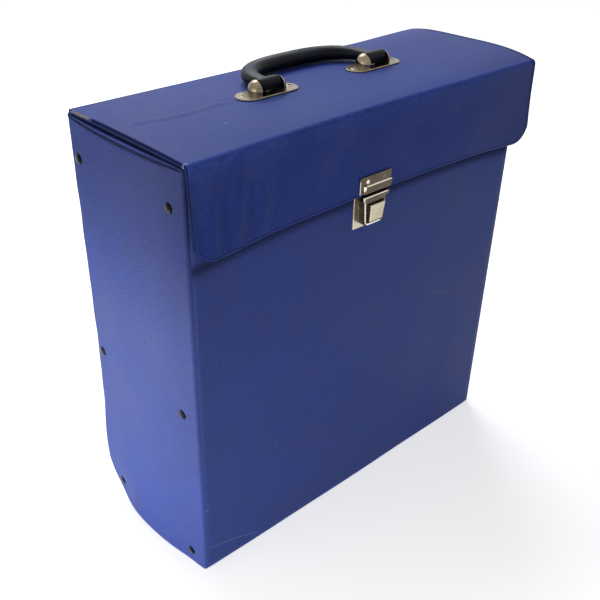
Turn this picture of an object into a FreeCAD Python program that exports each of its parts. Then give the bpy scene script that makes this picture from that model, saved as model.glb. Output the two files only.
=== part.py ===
import FreeCAD, Part
import math
import os

# Record carrying case: covered-board body with riveted ends, crowned lid with a front flap,
# sprung slide lock and a folding handle. Millimetres. +Z is up, the front faces -Y and X runs
# from the left end to the right end. The origin is on the base, in the middle of the body.

V = FreeCAD.Vector

# Body
case_width = 336.0
case_depth = 130.0
body_height = 337.0
board = 3.0
rear_corner_radius = 45.0
end_top_dip = 3.0
fold_chamfer = 0.9
fold_radius = 1.2
overrun = 5.0
paper = 0.4
glue = 0.1
edge_gap = 0.3

# Angle strips inside the corners
sheet = 1.0
front_flange_depth = 26.0
front_flange_width = 14.0
rear_flange_depth = 16.0
rear_flange_width = 12.0
strip_top_gap = 12.0
lining_top_gap = 6.0

# Rivets of the ends
rivet_head_radius = 4.0
rivet_head_height = 1.3
rivet_shank_radius = 1.6
rivet_tail_radius = 2.6
rivet_tail_height = 0.8
rivet_fit = 0.05
front_rivet_inset = 16.0
rear_rivet_inset = 8.5
top_rivet_drop = 29.5
middle_rivet_height = 148.5
low_rivet_height = 11.5
corner_rivet_angle = 43.0

# Lid and its hinge
lid_overhang_right = 12.0
lid_front_reach = 1.5
hinge_gap = 2.0
lid_seat = 0.5
lid_crown = 3.0
lid_edge_chamfer = 0.6
lid_lining_inset = 8.0
lid_lining_gap = 0.7
hinge_vinyl = 0.6
hinge_lap = 32.0
hinge_end_inset = 1.0

# Flap
flap_gap = 2.3
flap_drop = 62.5
flap_bow = 5.0
flap_corner_radius = 19.0
flap_lining_inset = 4.0
crease_vinyl = 1.0

# Handle brackets, placed from the middle of the lid
bracket_spacing = 108.0
bracket_length = 53.0
bracket_width = 19.0
bracket_plate = 1.2
bracket_chamfer = 0.4
ear_bulge = 5.4
ear_width = 15.0
ear_height = 9.5
ear_socket_depth = 2.6
bracket_rivet_inset = 5.5
small_head_radius = 2.5
small_head_height = 0.8
small_shank_radius = 1.4
small_tail_radius = 2.2
small_tail_height = 0.7
backing_length = 48.0
backing_width = 13.0
backing_sheet = 1.0
plate_gap = 0.4
seat_slack = 0.1

# Handle
eye_length = 19.6
eye_radius = 4.8
eye_side_gap = 0.4
eye_lift = 0.4
pin_radius = 1.5
pin_running_fit = 0.05
pin_end_gap = 0.2
grip_reach = 40.0
grip_mid_width = 14.0
grip_mid_thickness = 11.8
grip_root_width = 10.6
grip_root_thickness = 7.8
grip_squareness_share = 2.9
grip_sections_per_half = 7
grip_section_power_share = 1.4
grip_rest_gap = 0.3

# Lock, placed from the middle of the body
lock_offset = -5.5
base_plate_width = 32.4
base_foot_margin = 3.0
base_top_margin = 4.4
base_plate_thickness = 1.0
base_plate_corner = 1.5
base_rim_width = 1.0
base_rim_height = 0.5
lock_lip_gap = 2.0
lock_case_height = 19.6
lock_case_top_width = 23.0
lock_case_foot_width = 20.0
lock_case_depth = 6.0
lock_case_wall = 1.0
lock_case_corner = 3.0
lock_window_rim = 1.7
lock_window_top_rim = 2.2
lock_lip_width = 27.0
lock_lip_height = 4.0
lock_lip_proud = 1.0
lock_lip_radius = 1.6
lock_edge_radius = 0.5
lock_rivet_spacing = 15.0
lock_rivet_radius = 1.2
lock_rivet_head_radius = 1.9
lock_rivet_sink = 0.7
lock_rivet_tail_height = 0.6

# Tongue on the flap, and the plate in front of it
tongue_width = 10.0
tongue_thickness = 0.8
tongue_tip_rise = 4.6
tongue_tip_chamfer = 1.6
tongue_side_play = 0.8
tongue_face_play = 0.3
notch_depth = 2.0
notch_height = 4.0
notch_rise = 3.5
tongue_plate_width = 26.0
tongue_plate_height = 12.0
flap_plate_rise = 1.8
flap_plate_height = 12.6
flap_plate_thickness = 1.0
flap_plate_corner = 0.8
flap_bar_height = 6.2
flap_bar_proud = 1.6
flap_bar_left_inset = 4.5
flap_bar_chamfer = 2.4
flap_bar_edge = 0.7
flap_rivet_spacing = 16.6
flap_rivet_rise = 8.7
flap_rivet_head_height = 0.6
flap_rivet_head_radius = 1.7
flap_rivet_radius = 1.1

# Thumb slide and catch
slide_travel = 2.5
slide_stop_gap = 0.5
slide_right_gap = 1.0
slide_end_gap = 1.1
thumb_proud_top = 2.6
thumb_proud_foot = 1.3
thumb_edge = 0.5
ridge_count = 5
ridge_radius = 0.45
ridge_pitch = 2.1
catch_thickness = 1.0
catch_tongue_gap = 0.4
catch_end_gap = 0.4
catch_side_gap = 0.4
nose_width = 3.2
nose_play = 0.5
nose_bite = 1.7
spring_wire = 0.4
spring_height = 9.0
spring_foot_gap = 3.0

# Places that follow from the sizes above
half_width = case_width / 2
half_depth = case_depth / 2
inner_half_width = half_width - board
front_face = -half_depth
front_inner = front_face + board
back_face = half_depth
back_inner = back_face - board
lid_front = front_face - lid_front_reach
lid_rear = back_face - hinge_gap
lid_middle = (lid_front + lid_rear) / 2
lid_left = -half_width
lid_right = half_width + lid_overhang_right
lid_centre = (lid_left + lid_right) / 2
lid_under = body_height + lid_seat
lid_edge_top = lid_under + board
lid_top = lid_edge_top + lid_crown
flap_inner = front_face - flap_gap
flap_outer = flap_inner - board
crease_radius = lid_front - flap_outer
flap_top = lid_edge_top - crease_radius
flap_end_foot = flap_top - flap_drop
strip_top = body_height - strip_top_gap
pivot_z = lid_top + bracket_plate + eye_lift + eye_radius
pivot_y = lid_middle
eye_half = eye_length / 2
ear_inner = eye_half + eye_side_gap
flap_plate_foot = flap_end_foot + flap_bow + flap_plate_rise
flap_rivet_height = flap_plate_foot + flap_rivet_rise
base_front = front_face - base_plate_thickness
case_front = base_front - lock_case_depth
lip_top = flap_plate_foot - lock_lip_gap
case_top = lip_top - lock_lip_height
lock_case_foot = case_top - lock_case_height
base_plate_foot = lock_case_foot - base_foot_margin
base_plate_top = lip_top + base_top_margin
tongue_tip = lock_case_foot + tongue_tip_rise
notch_foot = tongue_tip + notch_rise
tongue_rear = flap_inner + tongue_thickness
catch_rear = flap_inner - catch_tongue_gap
catch_front = catch_rear - catch_thickness


def line(a, b):
    return Part.LineSegment(a, b).toShape()


def arc(a, middle, b):
    return Part.Arc(a, middle, b).toShape()


def polygon(points):
    return Part.Face(Part.makePolygon(points + [points[0]]))


def block(x0, x1, y0, y1, z0, z1):
    return Part.makeBox(x1 - x0, y1 - y0, z1 - z0, V(x0, y0, z0))


def along_x(face, x0, x1):
    body = face.extrude(V(x1 - x0, 0, 0))
    body.translate(V(x0, 0, 0))
    return body


def along_y(face, y0, y1):
    body = face.extrude(V(0, y1 - y0, 0))
    body.translate(V(0, y0, 0))
    return body


def rod(centre, direction, radius, length):
    return Part.makeCylinder(radius, length, centre, direction)


def joined(shapes):
    whole = shapes[0]
    for piece in shapes[1:]:
        whole = whole.fuse(piece)
    return whole.removeSplitter()


def mirrored(shape, x):
    return shape.mirror(V(x, 0, 0), V(1, 0, 0))


def edges_where(shape, test):
    return [edge for edge in shape.Edges if test(edge.BoundBox)]


def save(name, solids):
    shape = solids[0] if len(solids) == 1 else Part.makeCompound(solids)
    shape.exportStep(os.path.join("parts", name + ".step"))


def case_face(inset, top, dip=0):
    """Side view of the body: upright front, flat base, round lower rear corner."""
    front = front_face + inset
    rear = back_face - inset
    radius = rear_corner_radius - inset
    centre_y = rear - radius
    centre_z = inset + radius
    slope = radius * math.sqrt(0.5)
    front_top = V(0, front, top)
    rear_top = V(0, rear, top)
    front_foot = V(0, front, inset)
    arc_start = V(0, centre_y, inset)
    arc_middle = V(0, centre_y + slope, centre_z - slope)
    arc_end = V(0, rear, centre_z)
    edges = [line(front_top, front_foot), line(front_foot, arc_start),
             arc(arc_start, arc_middle, arc_end), line(arc_end, rear_top)]
    if dip > 0:
        edges.append(arc(rear_top, V(0, (front + rear) / 2, top - dip), front_top))
    else:
        edges.append(line(rear_top, front_top))
    return Part.Face(Part.Wire(edges))


def case_band(outer, inner, top):
    """Strip between two insets of the side view, open at the top."""
    return case_face(outer, top).cut(case_face(inner, top + overrun))


def dome_rivet(start, direction, sizes):
    """Domed head, shank and upset tail. The head rests at start and the shank follows direction."""
    head_radius, head_height, shank_radius, grip, tail_radius, tail_height = sizes
    ball_radius = (head_radius ** 2 + head_height ** 2) / (2 * head_height)
    half_spread = math.asin(head_radius / ball_radius) / 2
    crown = V(0, 0, -head_height)
    shoulder = V(math.sin(half_spread), 0, -math.cos(half_spread)) * ball_radius
    shoulder.z += ball_radius - head_height
    rim = V(head_radius, 0, 0)
    tail_top = V(0, 0, grip + tail_height)
    outline = Part.makePolygon([rim, V(shank_radius, 0, 0), V(shank_radius, 0, grip),
                                V(tail_radius, 0, grip), tail_top, crown])
    profile = Part.Wire([arc(crown, shoulder, rim)] + outline.Edges)
    rivet = Part.Face(profile).revolve(V(0, 0, 0), V(0, 0, 1), 360)
    rivet.Placement = FreeCAD.Placement(start, FreeCAD.Rotation(V(0, 0, 1), direction))
    return rivet


# Ends of the body

def end_rivet_places():
    """(y, z) of the six rivets of one end: three by the front, three by the rear."""
    front_y = front_face + front_rivet_inset
    rear_y = back_face - rear_rivet_inset
    top_z = body_height - top_rivet_drop
    corner_reach = rear_corner_radius - rear_rivet_inset
    turn = math.radians(corner_rivet_angle)
    corner_y = back_face - rear_corner_radius + corner_reach * math.cos(turn)
    corner_z = rear_corner_radius - corner_reach * math.sin(turn)
    return [(front_y, top_z), (front_y, middle_rivet_height), (front_y, low_rivet_height),
            (rear_y, top_z), (rear_y, middle_rivet_height), (corner_y, corner_z)]


def end_rivet_holes():
    radius = rivet_shank_radius + rivet_fit
    reach = board + sheet + 2 * overrun
    return [rod(V(-half_width - overrun, y, z), V(1, 0, 0), radius, reach)
            for y, z in end_rivet_places()]


def end_panel():
    panel = along_x(case_face(0, body_height, end_top_dip), -half_width, -inner_half_width)
    outer = edges_where(panel, lambda b: b.XMax < -inner_half_width - board / 2
                        and not (b.YLength > case_depth / 2 and b.ZMin > body_height / 2))
    panel = panel.makeChamfer(fold_chamfer, outer)
    return panel.cut(end_rivet_holes())


def front_angle():
    end_x = -inner_half_width
    end_flange = block(end_x, end_x + sheet, front_inner, front_inner + front_flange_depth,
                       board + edge_gap, strip_top)
    front_flange = block(end_x, end_x + front_flange_width, front_inner, front_inner + sheet,
                         board + edge_gap, strip_top)
    return joined([end_flange, front_flange]).cut(end_rivet_holes())


def rear_angle():
    end_x = -inner_half_width
    end_flange = along_x(case_band(board, board + rear_flange_depth, strip_top), end_x, end_x + sheet)
    rim_flange = along_x(case_band(board, board + sheet, strip_top), end_x, end_x + rear_flange_width)
    start_y = front_inner + front_flange_depth + edge_gap
    room = block(-half_width, 0, start_y, back_face, 0, strip_top)
    return joined([end_flange, rim_flange]).common(room).cut(end_rivet_holes())


def end_rivets():
    grip = board + sheet
    sizes = (rivet_head_radius, rivet_head_height, rivet_shank_radius, grip,
             rivet_tail_radius, rivet_tail_height)
    return [dome_rivet(V(-half_width, y, z), V(1, 0, 0), sizes) for y, z in end_rivet_places()]


def end_lining():
    end_x = -inner_half_width
    inset = board + rear_flange_depth + edge_gap
    sheet_area = along_x(case_face(inset, strip_top), end_x, end_x + paper)
    start_y = front_inner + front_flange_depth + edge_gap
    room = block(-half_width, 0, start_y, back_face, 0, strip_top)
    return sheet_area.common(room)


# Boards and lining of the body

def lock_rivet_places():
    middle_z = lock_case_foot + lock_case_height / 2
    return [(lock_offset + side * lock_rivet_spacing / 2, middle_z) for side in (-1, 1)]


def lock_rivet_holes():
    radius = lock_rivet_radius + rivet_fit
    start_y = front_face - 2 * overrun
    return [rod(V(x, start_y, z), V(0, 1, 0), radius, board + 4 * overrun)
            for x, z in lock_rivet_places()]


def front_board():
    panel = block(-inner_half_width, inner_half_width, front_face, front_inner, 0, body_height)
    top_edge = edges_where(panel, lambda b: b.ZMin > body_height - board and b.YLength < board
                           and b.YMax < front_inner and b.XLength > half_width)
    return panel.makeFillet(fold_radius, top_edge).cut(lock_rivet_holes())


def back_board():
    """The back, the round corner and the base are one bent board."""
    wrap = along_x(case_band(0, board, body_height), -inner_half_width, inner_half_width)
    front = block(-case_width, case_width, front_face - overrun, front_inner,
                  -overrun, body_height + overrun)
    return wrap.cut(front)


def body_lining():
    reach = inner_half_width - max(front_flange_width, rear_flange_width) - edge_gap
    top = body_height - lining_top_gap
    wrap = along_x(case_band(board, board + paper, top), -reach, reach)
    plate = lock_backing_plate().BoundBox
    return wrap.cut(block(plate.XMin - plate_gap, plate.XMax + plate_gap, front_inner - overrun,
                          front_inner + overrun, plate.ZMin - plate_gap, plate.ZMax + plate_gap))


def hinge_strip():
    """Vinyl that runs from the outside of the back up the rear edge of the lid."""
    low = body_height - hinge_lap
    top = lid_edge_top - edge_gap
    bend = lid_under + board / 4
    profile = polygon([V(0, back_face, low), V(0, back_face, body_height), V(0, lid_rear, bend),
                       V(0, lid_rear, top), V(0, lid_rear + hinge_vinyl, top),
                       V(0, lid_rear + hinge_vinyl, bend + hinge_vinyl / 2),
                       V(0, back_face + hinge_vinyl, body_height + hinge_vinyl / 2),
                       V(0, back_face + hinge_vinyl, low)])
    return along_x(profile, -half_width + hinge_end_inset, half_width - hinge_end_inset)


# Lid

def crown_height(y):
    """Height of the crowned lid over its edges at a place across its depth."""
    share = (y - lid_middle) / (lid_rear - lid_middle)
    return lid_crown * (1 - share ** 2)


def crown_line(edge_z, y0, y1):
    """Three points of the arc across the lid, from front to rear."""
    middle = (y0 + y1) / 2
    return [V(0, y, edge_z + crown_height(y)) for y in (y0, middle, y1)]


def crowned_sheet(under_z, thickness, y0, y1, x0, x1):
    under = crown_line(under_z, y0, y1)
    over = crown_line(under_z + thickness, y0, y1)
    edges = [arc(*under), line(under[2], over[2]), arc(over[2], over[1], over[0]),
             line(over[0], under[0])]
    return along_x(Part.Face(Part.Wire(edges)), x0, x1)


def bracket_centres():
    return [lid_centre - bracket_spacing / 2, lid_centre + bracket_spacing / 2]


def bracket_rivet_places(centre_x):
    reach = bracket_length / 2 - bracket_rivet_inset
    return [centre_x - reach, centre_x + reach]


def bracket_rivet_holes():
    radius = small_shank_radius + rivet_fit
    length = lid_crown + board + 4 * overrun
    return [rod(V(x, lid_middle, lid_under - 2 * overrun), V(0, 0, 1), radius, length)
            for centre_x in bracket_centres() for x in bracket_rivet_places(centre_x)]


def lid_board():
    slab = crowned_sheet(lid_under, board, lid_front, lid_rear, lid_left, lid_right)
    sides = edges_where(slab, lambda b: b.ZMin > lid_edge_top - lid_seat and b.XLength < board
                        and b.YLength > half_depth)
    return slab.makeChamfer(lid_edge_chamfer, sides).cut(bracket_rivet_holes())


def lid_lining():
    left = -half_width + lid_lining_inset
    right = half_width - lid_lining_inset
    sheet_area = crowned_sheet(lid_under - paper - glue, paper, lid_front, lid_rear, left, right)
    room = block(left, right, front_inner + lid_lining_gap, back_inner - lid_lining_gap,
                 body_height - board, lid_top)
    windows = [block(plate.XMin - plate_gap, plate.XMax + plate_gap, plate.YMin - plate_gap,
                     plate.YMax + plate_gap, lid_under - overrun, lid_top)
               for plate in [handle_backing_plate(x).BoundBox for x in bracket_centres()]]
    return sheet_area.common(room).cut(windows)


def crease_strip():
    """Quarter-round vinyl fold between the lid and the flap."""
    axis = V(0, lid_front, lid_edge_top - crease_radius)

    def corner(radius):
        slope = radius * math.sqrt(0.5)
        return (V(0, axis.y, axis.z + radius), V(0, axis.y - slope, axis.z + slope),
                V(0, axis.y - radius, axis.z))
    outer = corner(crease_radius)
    inner = corner(crease_radius - crease_vinyl)
    edges = [arc(*outer), line(outer[2], inner[2]), arc(inner[2], inner[1], inner[0]),
             line(inner[0], outer[0])]
    return along_x(Part.Face(Part.Wire(edges)), lid_left, lid_right)


# Flap

def flap_rivet_holes():
    radius = flap_rivet_radius + rivet_fit
    start_y = flap_outer - 2 * overrun
    return [rod(V(lock_offset + side * flap_rivet_spacing / 2, start_y, flap_rivet_height),
                V(0, 1, 0), radius, board + 3 * overrun) for side in (-1, 1)]


def flap_sheet(inset, y0, y1):
    left = lid_left + inset
    right = lid_right - inset
    foot = flap_end_foot + inset
    top = flap_top - inset
    edges = [line(V(left, 0, top), V(left, 0, foot)),
             arc(V(left, 0, foot), V((left + right) / 2, 0, foot + flap_bow), V(right, 0, foot)),
             line(V(right, 0, foot), V(right, 0, top)), line(V(right, 0, top), V(left, 0, top))]
    slab = along_y(Part.Face(Part.Wire(edges)), y0, y1)
    corners = edges_where(slab, lambda b: b.YLength > abs(y1 - y0) / 2 and b.XLength < board
                          and b.ZMax < foot + board)
    return slab.makeFillet(flap_corner_radius - inset, corners)


def flap_board():
    return flap_sheet(0, flap_outer, flap_inner).cut(flap_rivet_holes())


def flap_lining():
    plate = lock_tongue().BoundBox
    window = block(plate.XMin - plate_gap, plate.XMax + plate_gap, flap_inner - overrun,
                   flap_inner + overrun, flap_end_foot - overrun, plate.ZMax + plate_gap)
    return flap_sheet(flap_lining_inset, flap_inner, flap_inner + paper).cut(window)


def flap_plate():
    """Stamped plate on the flap with a raised bar along its lower half."""
    left = lock_offset - base_plate_width / 2
    right = lock_offset + base_plate_width / 2
    front = flap_outer - flap_plate_thickness
    top = flap_plate_foot + flap_plate_height
    plate = block(left, right, front, flap_outer, flap_plate_foot, top)
    corners = edges_where(plate, lambda b: b.YLength > flap_plate_thickness / 2)
    plate = plate.makeFillet(flap_plate_corner, corners)
    bar_top = flap_plate_foot + flap_bar_height
    bar_left = left + flap_bar_left_inset
    bar_front = front - flap_bar_proud
    outline = [V(bar_left + flap_bar_edge, 0, flap_plate_foot), V(bar_left, 0, bar_top),
               V(right, 0, bar_top), V(right, 0, flap_plate_foot + flap_bar_chamfer),
               V(right - flap_bar_chamfer, 0, flap_plate_foot)]
    bar = along_y(polygon(outline), bar_front, front)
    front_edges = edges_where(bar, lambda b: b.YMax < front - flap_bar_proud / 2)
    bar = bar.makeFillet(flap_bar_edge, front_edges)
    return joined([plate, bar]).cut(flap_rivet_holes())


def lock_tongue():
    """Plate inside the flap that runs down into the lock, with a side notch for the catch."""
    half_plate = tongue_plate_width / 2
    half_tongue = tongue_width / 2
    plate_foot = flap_plate_foot
    plate_top = plate_foot + tongue_plate_height
    left = lock_offset - half_tongue
    right = lock_offset + half_tongue
    notch_top = notch_foot + notch_height
    outline = [V(lock_offset - half_plate, 0, plate_top), V(lock_offset - half_plate, 0, plate_foot),
               V(left, 0, plate_foot), V(left, 0, notch_top), V(left + notch_depth, 0, notch_top),
               V(left + notch_depth, 0, notch_foot), V(left, 0, notch_foot),
               V(left, 0, tongue_tip + tongue_tip_chamfer), V(left + tongue_tip_chamfer, 0, tongue_tip),
               V(right - tongue_tip_chamfer, 0, tongue_tip), V(right, 0, tongue_tip + tongue_tip_chamfer),
               V(right, 0, plate_foot), V(lock_offset + half_plate, 0, plate_foot),
               V(lock_offset + half_plate, 0, plate_top)]
    return along_y(polygon(outline), flap_inner, tongue_rear).cut(flap_rivet_holes())


def flap_rivets():
    grip = flap_plate_thickness + board + tongue_thickness
    front = flap_outer - flap_plate_thickness
    sizes = (flap_rivet_head_radius, flap_rivet_head_height, flap_rivet_radius, grip,
             flap_rivet_head_radius, edge_gap / 2)
    return [dome_rivet(V(lock_offset + side * flap_rivet_spacing / 2, front, flap_rivet_height),
                       V(0, 1, 0), sizes) for side in (-1, 1)]


# Lock on the front of the body

def lock_half_width(z):
    """Half width of the tapered lock case at a height."""
    share = (z - lock_case_foot) / lock_case_height
    return (lock_case_foot_width + (lock_case_top_width - lock_case_foot_width) * share) / 2


def lock_outline(inset, foot, top):
    """Tapered outline of the lock case, drawn in by inset, between two heights."""
    foot_half = lock_half_width(foot) - inset
    top_half = lock_half_width(top) - inset
    return polygon([V(lock_offset - foot_half, 0, foot), V(lock_offset + foot_half, 0, foot),
                    V(lock_offset + top_half, 0, top), V(lock_offset - top_half, 0, top)])


def rounded_foot(shape, foot, radius):
    corners = edges_where(shape, lambda b: b.YLength > lock_case_wall / 2 and b.ZMax < foot + edge_gap)
    return shape.makeFillet(radius, corners)


def lock_base_plate():
    left = lock_offset - base_plate_width / 2
    right = lock_offset + base_plate_width / 2
    plate = block(left, right, base_front, front_face, base_plate_foot, base_plate_top)
    corners = edges_where(plate, lambda b: b.YLength > base_plate_thickness / 2)
    plate = plate.makeFillet(base_plate_corner, corners)
    rim_foot = base_plate_foot + base_plate_corner
    rims = [block(x, x + base_rim_width, base_front - base_rim_height, base_front,
                  rim_foot, base_plate_top - base_plate_corner)
            for x in (left, right - base_rim_width)]
    sink = [Part.makeCone(lock_rivet_head_radius, lock_rivet_radius, lock_rivet_sink,
                          V(x, base_front, z), V(0, 1, 0)) for x, z in lock_rivet_places()]
    return joined([plate] + rims).cut(sink + lock_rivet_holes())


def lock_case():
    """Folded case with a window for the thumb piece and a wider lip round its mouth."""
    shell = along_y(lock_outline(0, lock_case_foot, case_top), case_front, base_front)
    shell = rounded_foot(shell, lock_case_foot, lock_case_corner)
    shell = shell.makeFillet(lock_edge_radius, edges_where(
        shell, lambda b: b.YMax < case_front + lock_edge_radius and b.ZMin < case_top - lock_case_wall))
    lip = block(lock_offset - lock_lip_width / 2, lock_offset + lock_lip_width / 2,
                case_front - lock_lip_proud, base_front, case_top, lip_top)
    lip = lip.makeFillet(lock_lip_radius, edges_where(
        lip, lambda b: b.YMax < case_front and b.XLength > lock_lip_width / 2))
    room_foot = lock_case_foot + lock_case_wall
    room = along_y(lock_outline(lock_case_wall, room_foot, case_top + edge_gap),
                   case_front + lock_case_wall, base_front + overrun)
    window_foot = lock_case_foot + lock_window_rim
    window_top = case_top - lock_window_top_rim
    window = along_y(lock_outline(lock_window_rim, window_foot, window_top),
                     case_front - overrun, base_front)
    window = rounded_foot(window, window_foot, lock_case_corner - lock_window_rim)
    mouth_half = tongue_width / 2 + tongue_side_play
    mouth = block(lock_offset - mouth_half, lock_offset + mouth_half,
                  flap_inner - tongue_face_play, base_front + overrun,
                  case_top - overrun, lip_top + overrun)
    return joined([shell, lip]).cut([room, window, mouth])


def lock_rivets():
    """Countersunk rivets that clamp the base plate through the board to the plate inside."""
    grip = base_plate_thickness + board + sheet
    profile = polygon([V(0, 0, 0), V(lock_rivet_head_radius - rivet_fit, 0, 0),
                       V(lock_rivet_radius, lock_rivet_sink, 0), V(lock_rivet_radius, grip, 0),
                       V(lock_rivet_head_radius, grip, 0), V(0, grip + lock_rivet_tail_height, 0)])
    rivet = profile.revolve(V(0, 0, 0), V(0, 1, 0), 360)
    rivets = []
    for x, z in lock_rivet_places():
        rivets.append(rivet.translated(V(x, base_front, z)))
    return rivets


def lock_backing_plate():
    half = base_plate_width / 2
    plate = block(lock_offset - half, lock_offset + half, front_inner, front_inner + sheet,
                  lock_case_foot, lip_top)
    return plate.cut(lock_rivet_holes())


def thumb_outline(foot, top):
    """Outline of the thumb piece: the window, less the travel on the left and the gaps."""
    points = []
    for z, order in ((foot, (-1, 1)), (top, (1, -1))):
        half = lock_half_width(z) - lock_window_rim
        left = lock_offset - half + slide_travel + slide_stop_gap
        right = lock_offset + half - slide_right_gap
        points += [V(left if side < 0 else right, 0, z) for side in order]
    return points


def lock_thumb_slide():
    """Wedge-shaped thumb piece with upright ridges."""
    foot = lock_case_foot + lock_window_rim + slide_end_gap
    top = case_top - lock_window_top_rim - slide_end_gap
    proud_foot = case_front - thumb_proud_foot
    proud_top = case_front - thumb_proud_top
    body = along_y(polygon(thumb_outline(foot, top)), proud_top - overrun, catch_front)
    slope = (proud_top - proud_foot) / (top - foot)
    low_y = proud_foot - slope * overrun
    high_y = proud_top + slope * overrun
    wedge = polygon([V(0, low_y, foot - overrun), V(0, high_y, top + overrun),
                     V(0, catch_front, top + overrun), V(0, catch_front, foot - overrun)])
    wedge = along_x(wedge, lock_offset - lock_lip_width, lock_offset + lock_lip_width)
    body = body.common(wedge)
    body = body.makeChamfer(thumb_edge, edges_where(body, lambda b: b.YMax < case_front))
    points = thumb_outline(foot, top)
    middle_x = (points[0].x + points[1].x + points[2].x + points[3].x) / 4
    run = V(0, high_y - low_y, top - foot + 2 * overrun)
    grooves = []
    for i in range(ridge_count):
        x = middle_x + (i - (ridge_count - 1) / 2) * ridge_pitch
        grooves.append(rod(V(x, low_y, foot - overrun), run, ridge_radius, run.Length))
    return body.cut(grooves)


def lock_catch():
    """Plate behind the thumb piece, with a nose that bites in the notch of the tongue."""
    foot = lock_case_foot + lock_case_wall + catch_end_gap
    top = case_top - catch_end_gap
    half = lock_half_width(foot) - lock_case_wall
    left = lock_offset - half + slide_travel + catch_side_gap
    right = lock_offset + half - catch_side_gap
    plate = block(left, right, catch_front, catch_rear, foot, top)
    corners = edges_where(plate, lambda b: b.YLength > catch_thickness / 2)
    plate = plate.makeFillet(lock_case_wall, corners)
    nose_right = lock_offset - tongue_width / 2 + nose_bite
    nose_foot = notch_foot + nose_play
    nose = block(nose_right - nose_width, nose_right, catch_rear, base_front - tongue_face_play,
                 nose_foot, notch_foot + notch_height - nose_play)
    return joined([plate, nose])


def lock_spring():
    """Bowed leaf spring between the left wall of the lock case and the catch."""
    foot = lock_case_foot + lock_case_wall + spring_foot_gap
    top = foot + spring_height
    middle = (foot + top) / 2
    wall_x = lock_offset - lock_half_width(foot) + lock_case_wall + edge_gap
    catch_x = (lock_offset - lock_half_width(lock_case_foot + lock_case_wall + catch_end_gap)
               + lock_case_wall + slide_travel + catch_side_gap)
    bow_x = catch_x - edge_gap / 2

    def bow(shift):
        return (V(wall_x + shift, 0, foot), V(bow_x - spring_wire + shift, 0, middle),
                V(wall_x + shift, 0, top))
    left = bow(0)
    right = bow(spring_wire)
    edges = [arc(*left), line(left[2], right[2]), arc(right[2], right[1], right[0]),
             line(right[0], left[0])]
    return along_y(Part.Face(Part.Wire(edges)), catch_front, catch_rear)


# Handle and its brackets

def bracket_ear(inner_x, side, foot_z):
    """Ear that bulges away from the eye: a quarter dome on a rounded upright column."""
    half = ear_width / 2
    shoulder_z = foot_z + ear_height - half
    ball_radius = (half ** 2 + ear_bulge ** 2) / (2 * ear_bulge)
    ball_x = inner_x - side * (ball_radius - ear_bulge)
    ball = Part.makeSphere(ball_radius, V(ball_x, lid_middle, shoulder_z))
    column = rod(V(ball_x, lid_middle, foot_z), V(0, 0, 1), ball_radius, shoulder_z - foot_z)
    far_x = inner_x + side * 2 * ear_bulge
    room = block(min(inner_x, far_x), max(inner_x, far_x), lid_middle - ear_width,
                 lid_middle + ear_width, foot_z, foot_z + 2 * ear_height)
    above = block(min(inner_x, far_x), max(inner_x, far_x), lid_middle - ear_width,
                  lid_middle + ear_width, shoulder_z, foot_z + 2 * ear_height)
    return column.common(room).fuse(ball.common(above))


def bracket(centre_x):
    """Round-ended plate with two half-domed ears, each with a blind socket for the pin."""
    half = bracket_length / 2 - bracket_width / 2
    base = block(centre_x - half, centre_x + half, lid_middle - bracket_width / 2,
                 lid_middle + bracket_width / 2, lid_top, lid_top + bracket_plate)
    ends = [rod(V(x, lid_middle, lid_top), V(0, 0, 1), bracket_width / 2, bracket_plate)
            for x in (centre_x - half, centre_x + half)]
    plate = joined([base] + ends)
    top_z = lid_top + bracket_plate
    rim = edges_where(plate, lambda b: b.ZMin > top_z - bracket_chamfer / 2)
    plate = plate.makeChamfer(bracket_chamfer, rim)
    ears = [bracket_ear(centre_x + side * ear_inner, side, top_z) for side in (-1, 1)]
    socket_reach = ear_inner + ear_socket_depth
    socket = rod(V(centre_x - socket_reach, pivot_y, pivot_z), V(1, 0, 0), pin_radius, 2 * socket_reach)
    return joined([plate] + ears).cut([socket] + bracket_rivet_holes())


def handle_pin(centre_x):
    reach = ear_inner + ear_socket_depth - pin_end_gap
    return rod(V(centre_x - reach, pivot_y, pivot_z), V(1, 0, 0), pin_radius, 2 * reach)


def bracket_rivets(centre_x):
    grip = bracket_plate + board + seat_slack + backing_sheet
    sizes = (small_head_radius, small_head_height, small_shank_radius, grip,
             small_tail_radius, small_tail_height)
    return [dome_rivet(V(x, lid_middle, lid_top + bracket_plate), V(0, 0, -1), sizes)
            for x in bracket_rivet_places(centre_x)]


def handle_backing_plate(centre_x):
    top = lid_under + lid_crown - seat_slack
    plate = block(centre_x - backing_length / 2, centre_x + backing_length / 2,
                  lid_middle - backing_width / 2, lid_middle + backing_width / 2,
                  top - backing_sheet, top)
    return plate.cut(bracket_rivet_holes())


def grip_rest_angle():
    """How far the grip droops behind the pivot until it lies just over the crowned lid."""
    at_grip = lid_edge_top + crown_height(pivot_y + grip_reach)
    drop = pivot_z - at_grip - grip_mid_thickness / 2 - grip_rest_gap
    return math.asin(drop / grip_reach)


def grip_point(turn):
    """Centre of the grip at a turn of 0 to 180 degrees along its arch, in the handle's plane."""
    power = 2 / grip_squareness_share
    across = math.copysign(abs(math.cos(turn)) ** power, math.cos(turn)) * bracket_spacing / 2
    along = abs(math.sin(turn)) ** power * grip_reach
    droop = grip_rest_angle()
    return V(lid_centre + across, pivot_y + along * math.cos(droop), pivot_z - along * math.sin(droop))


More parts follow.
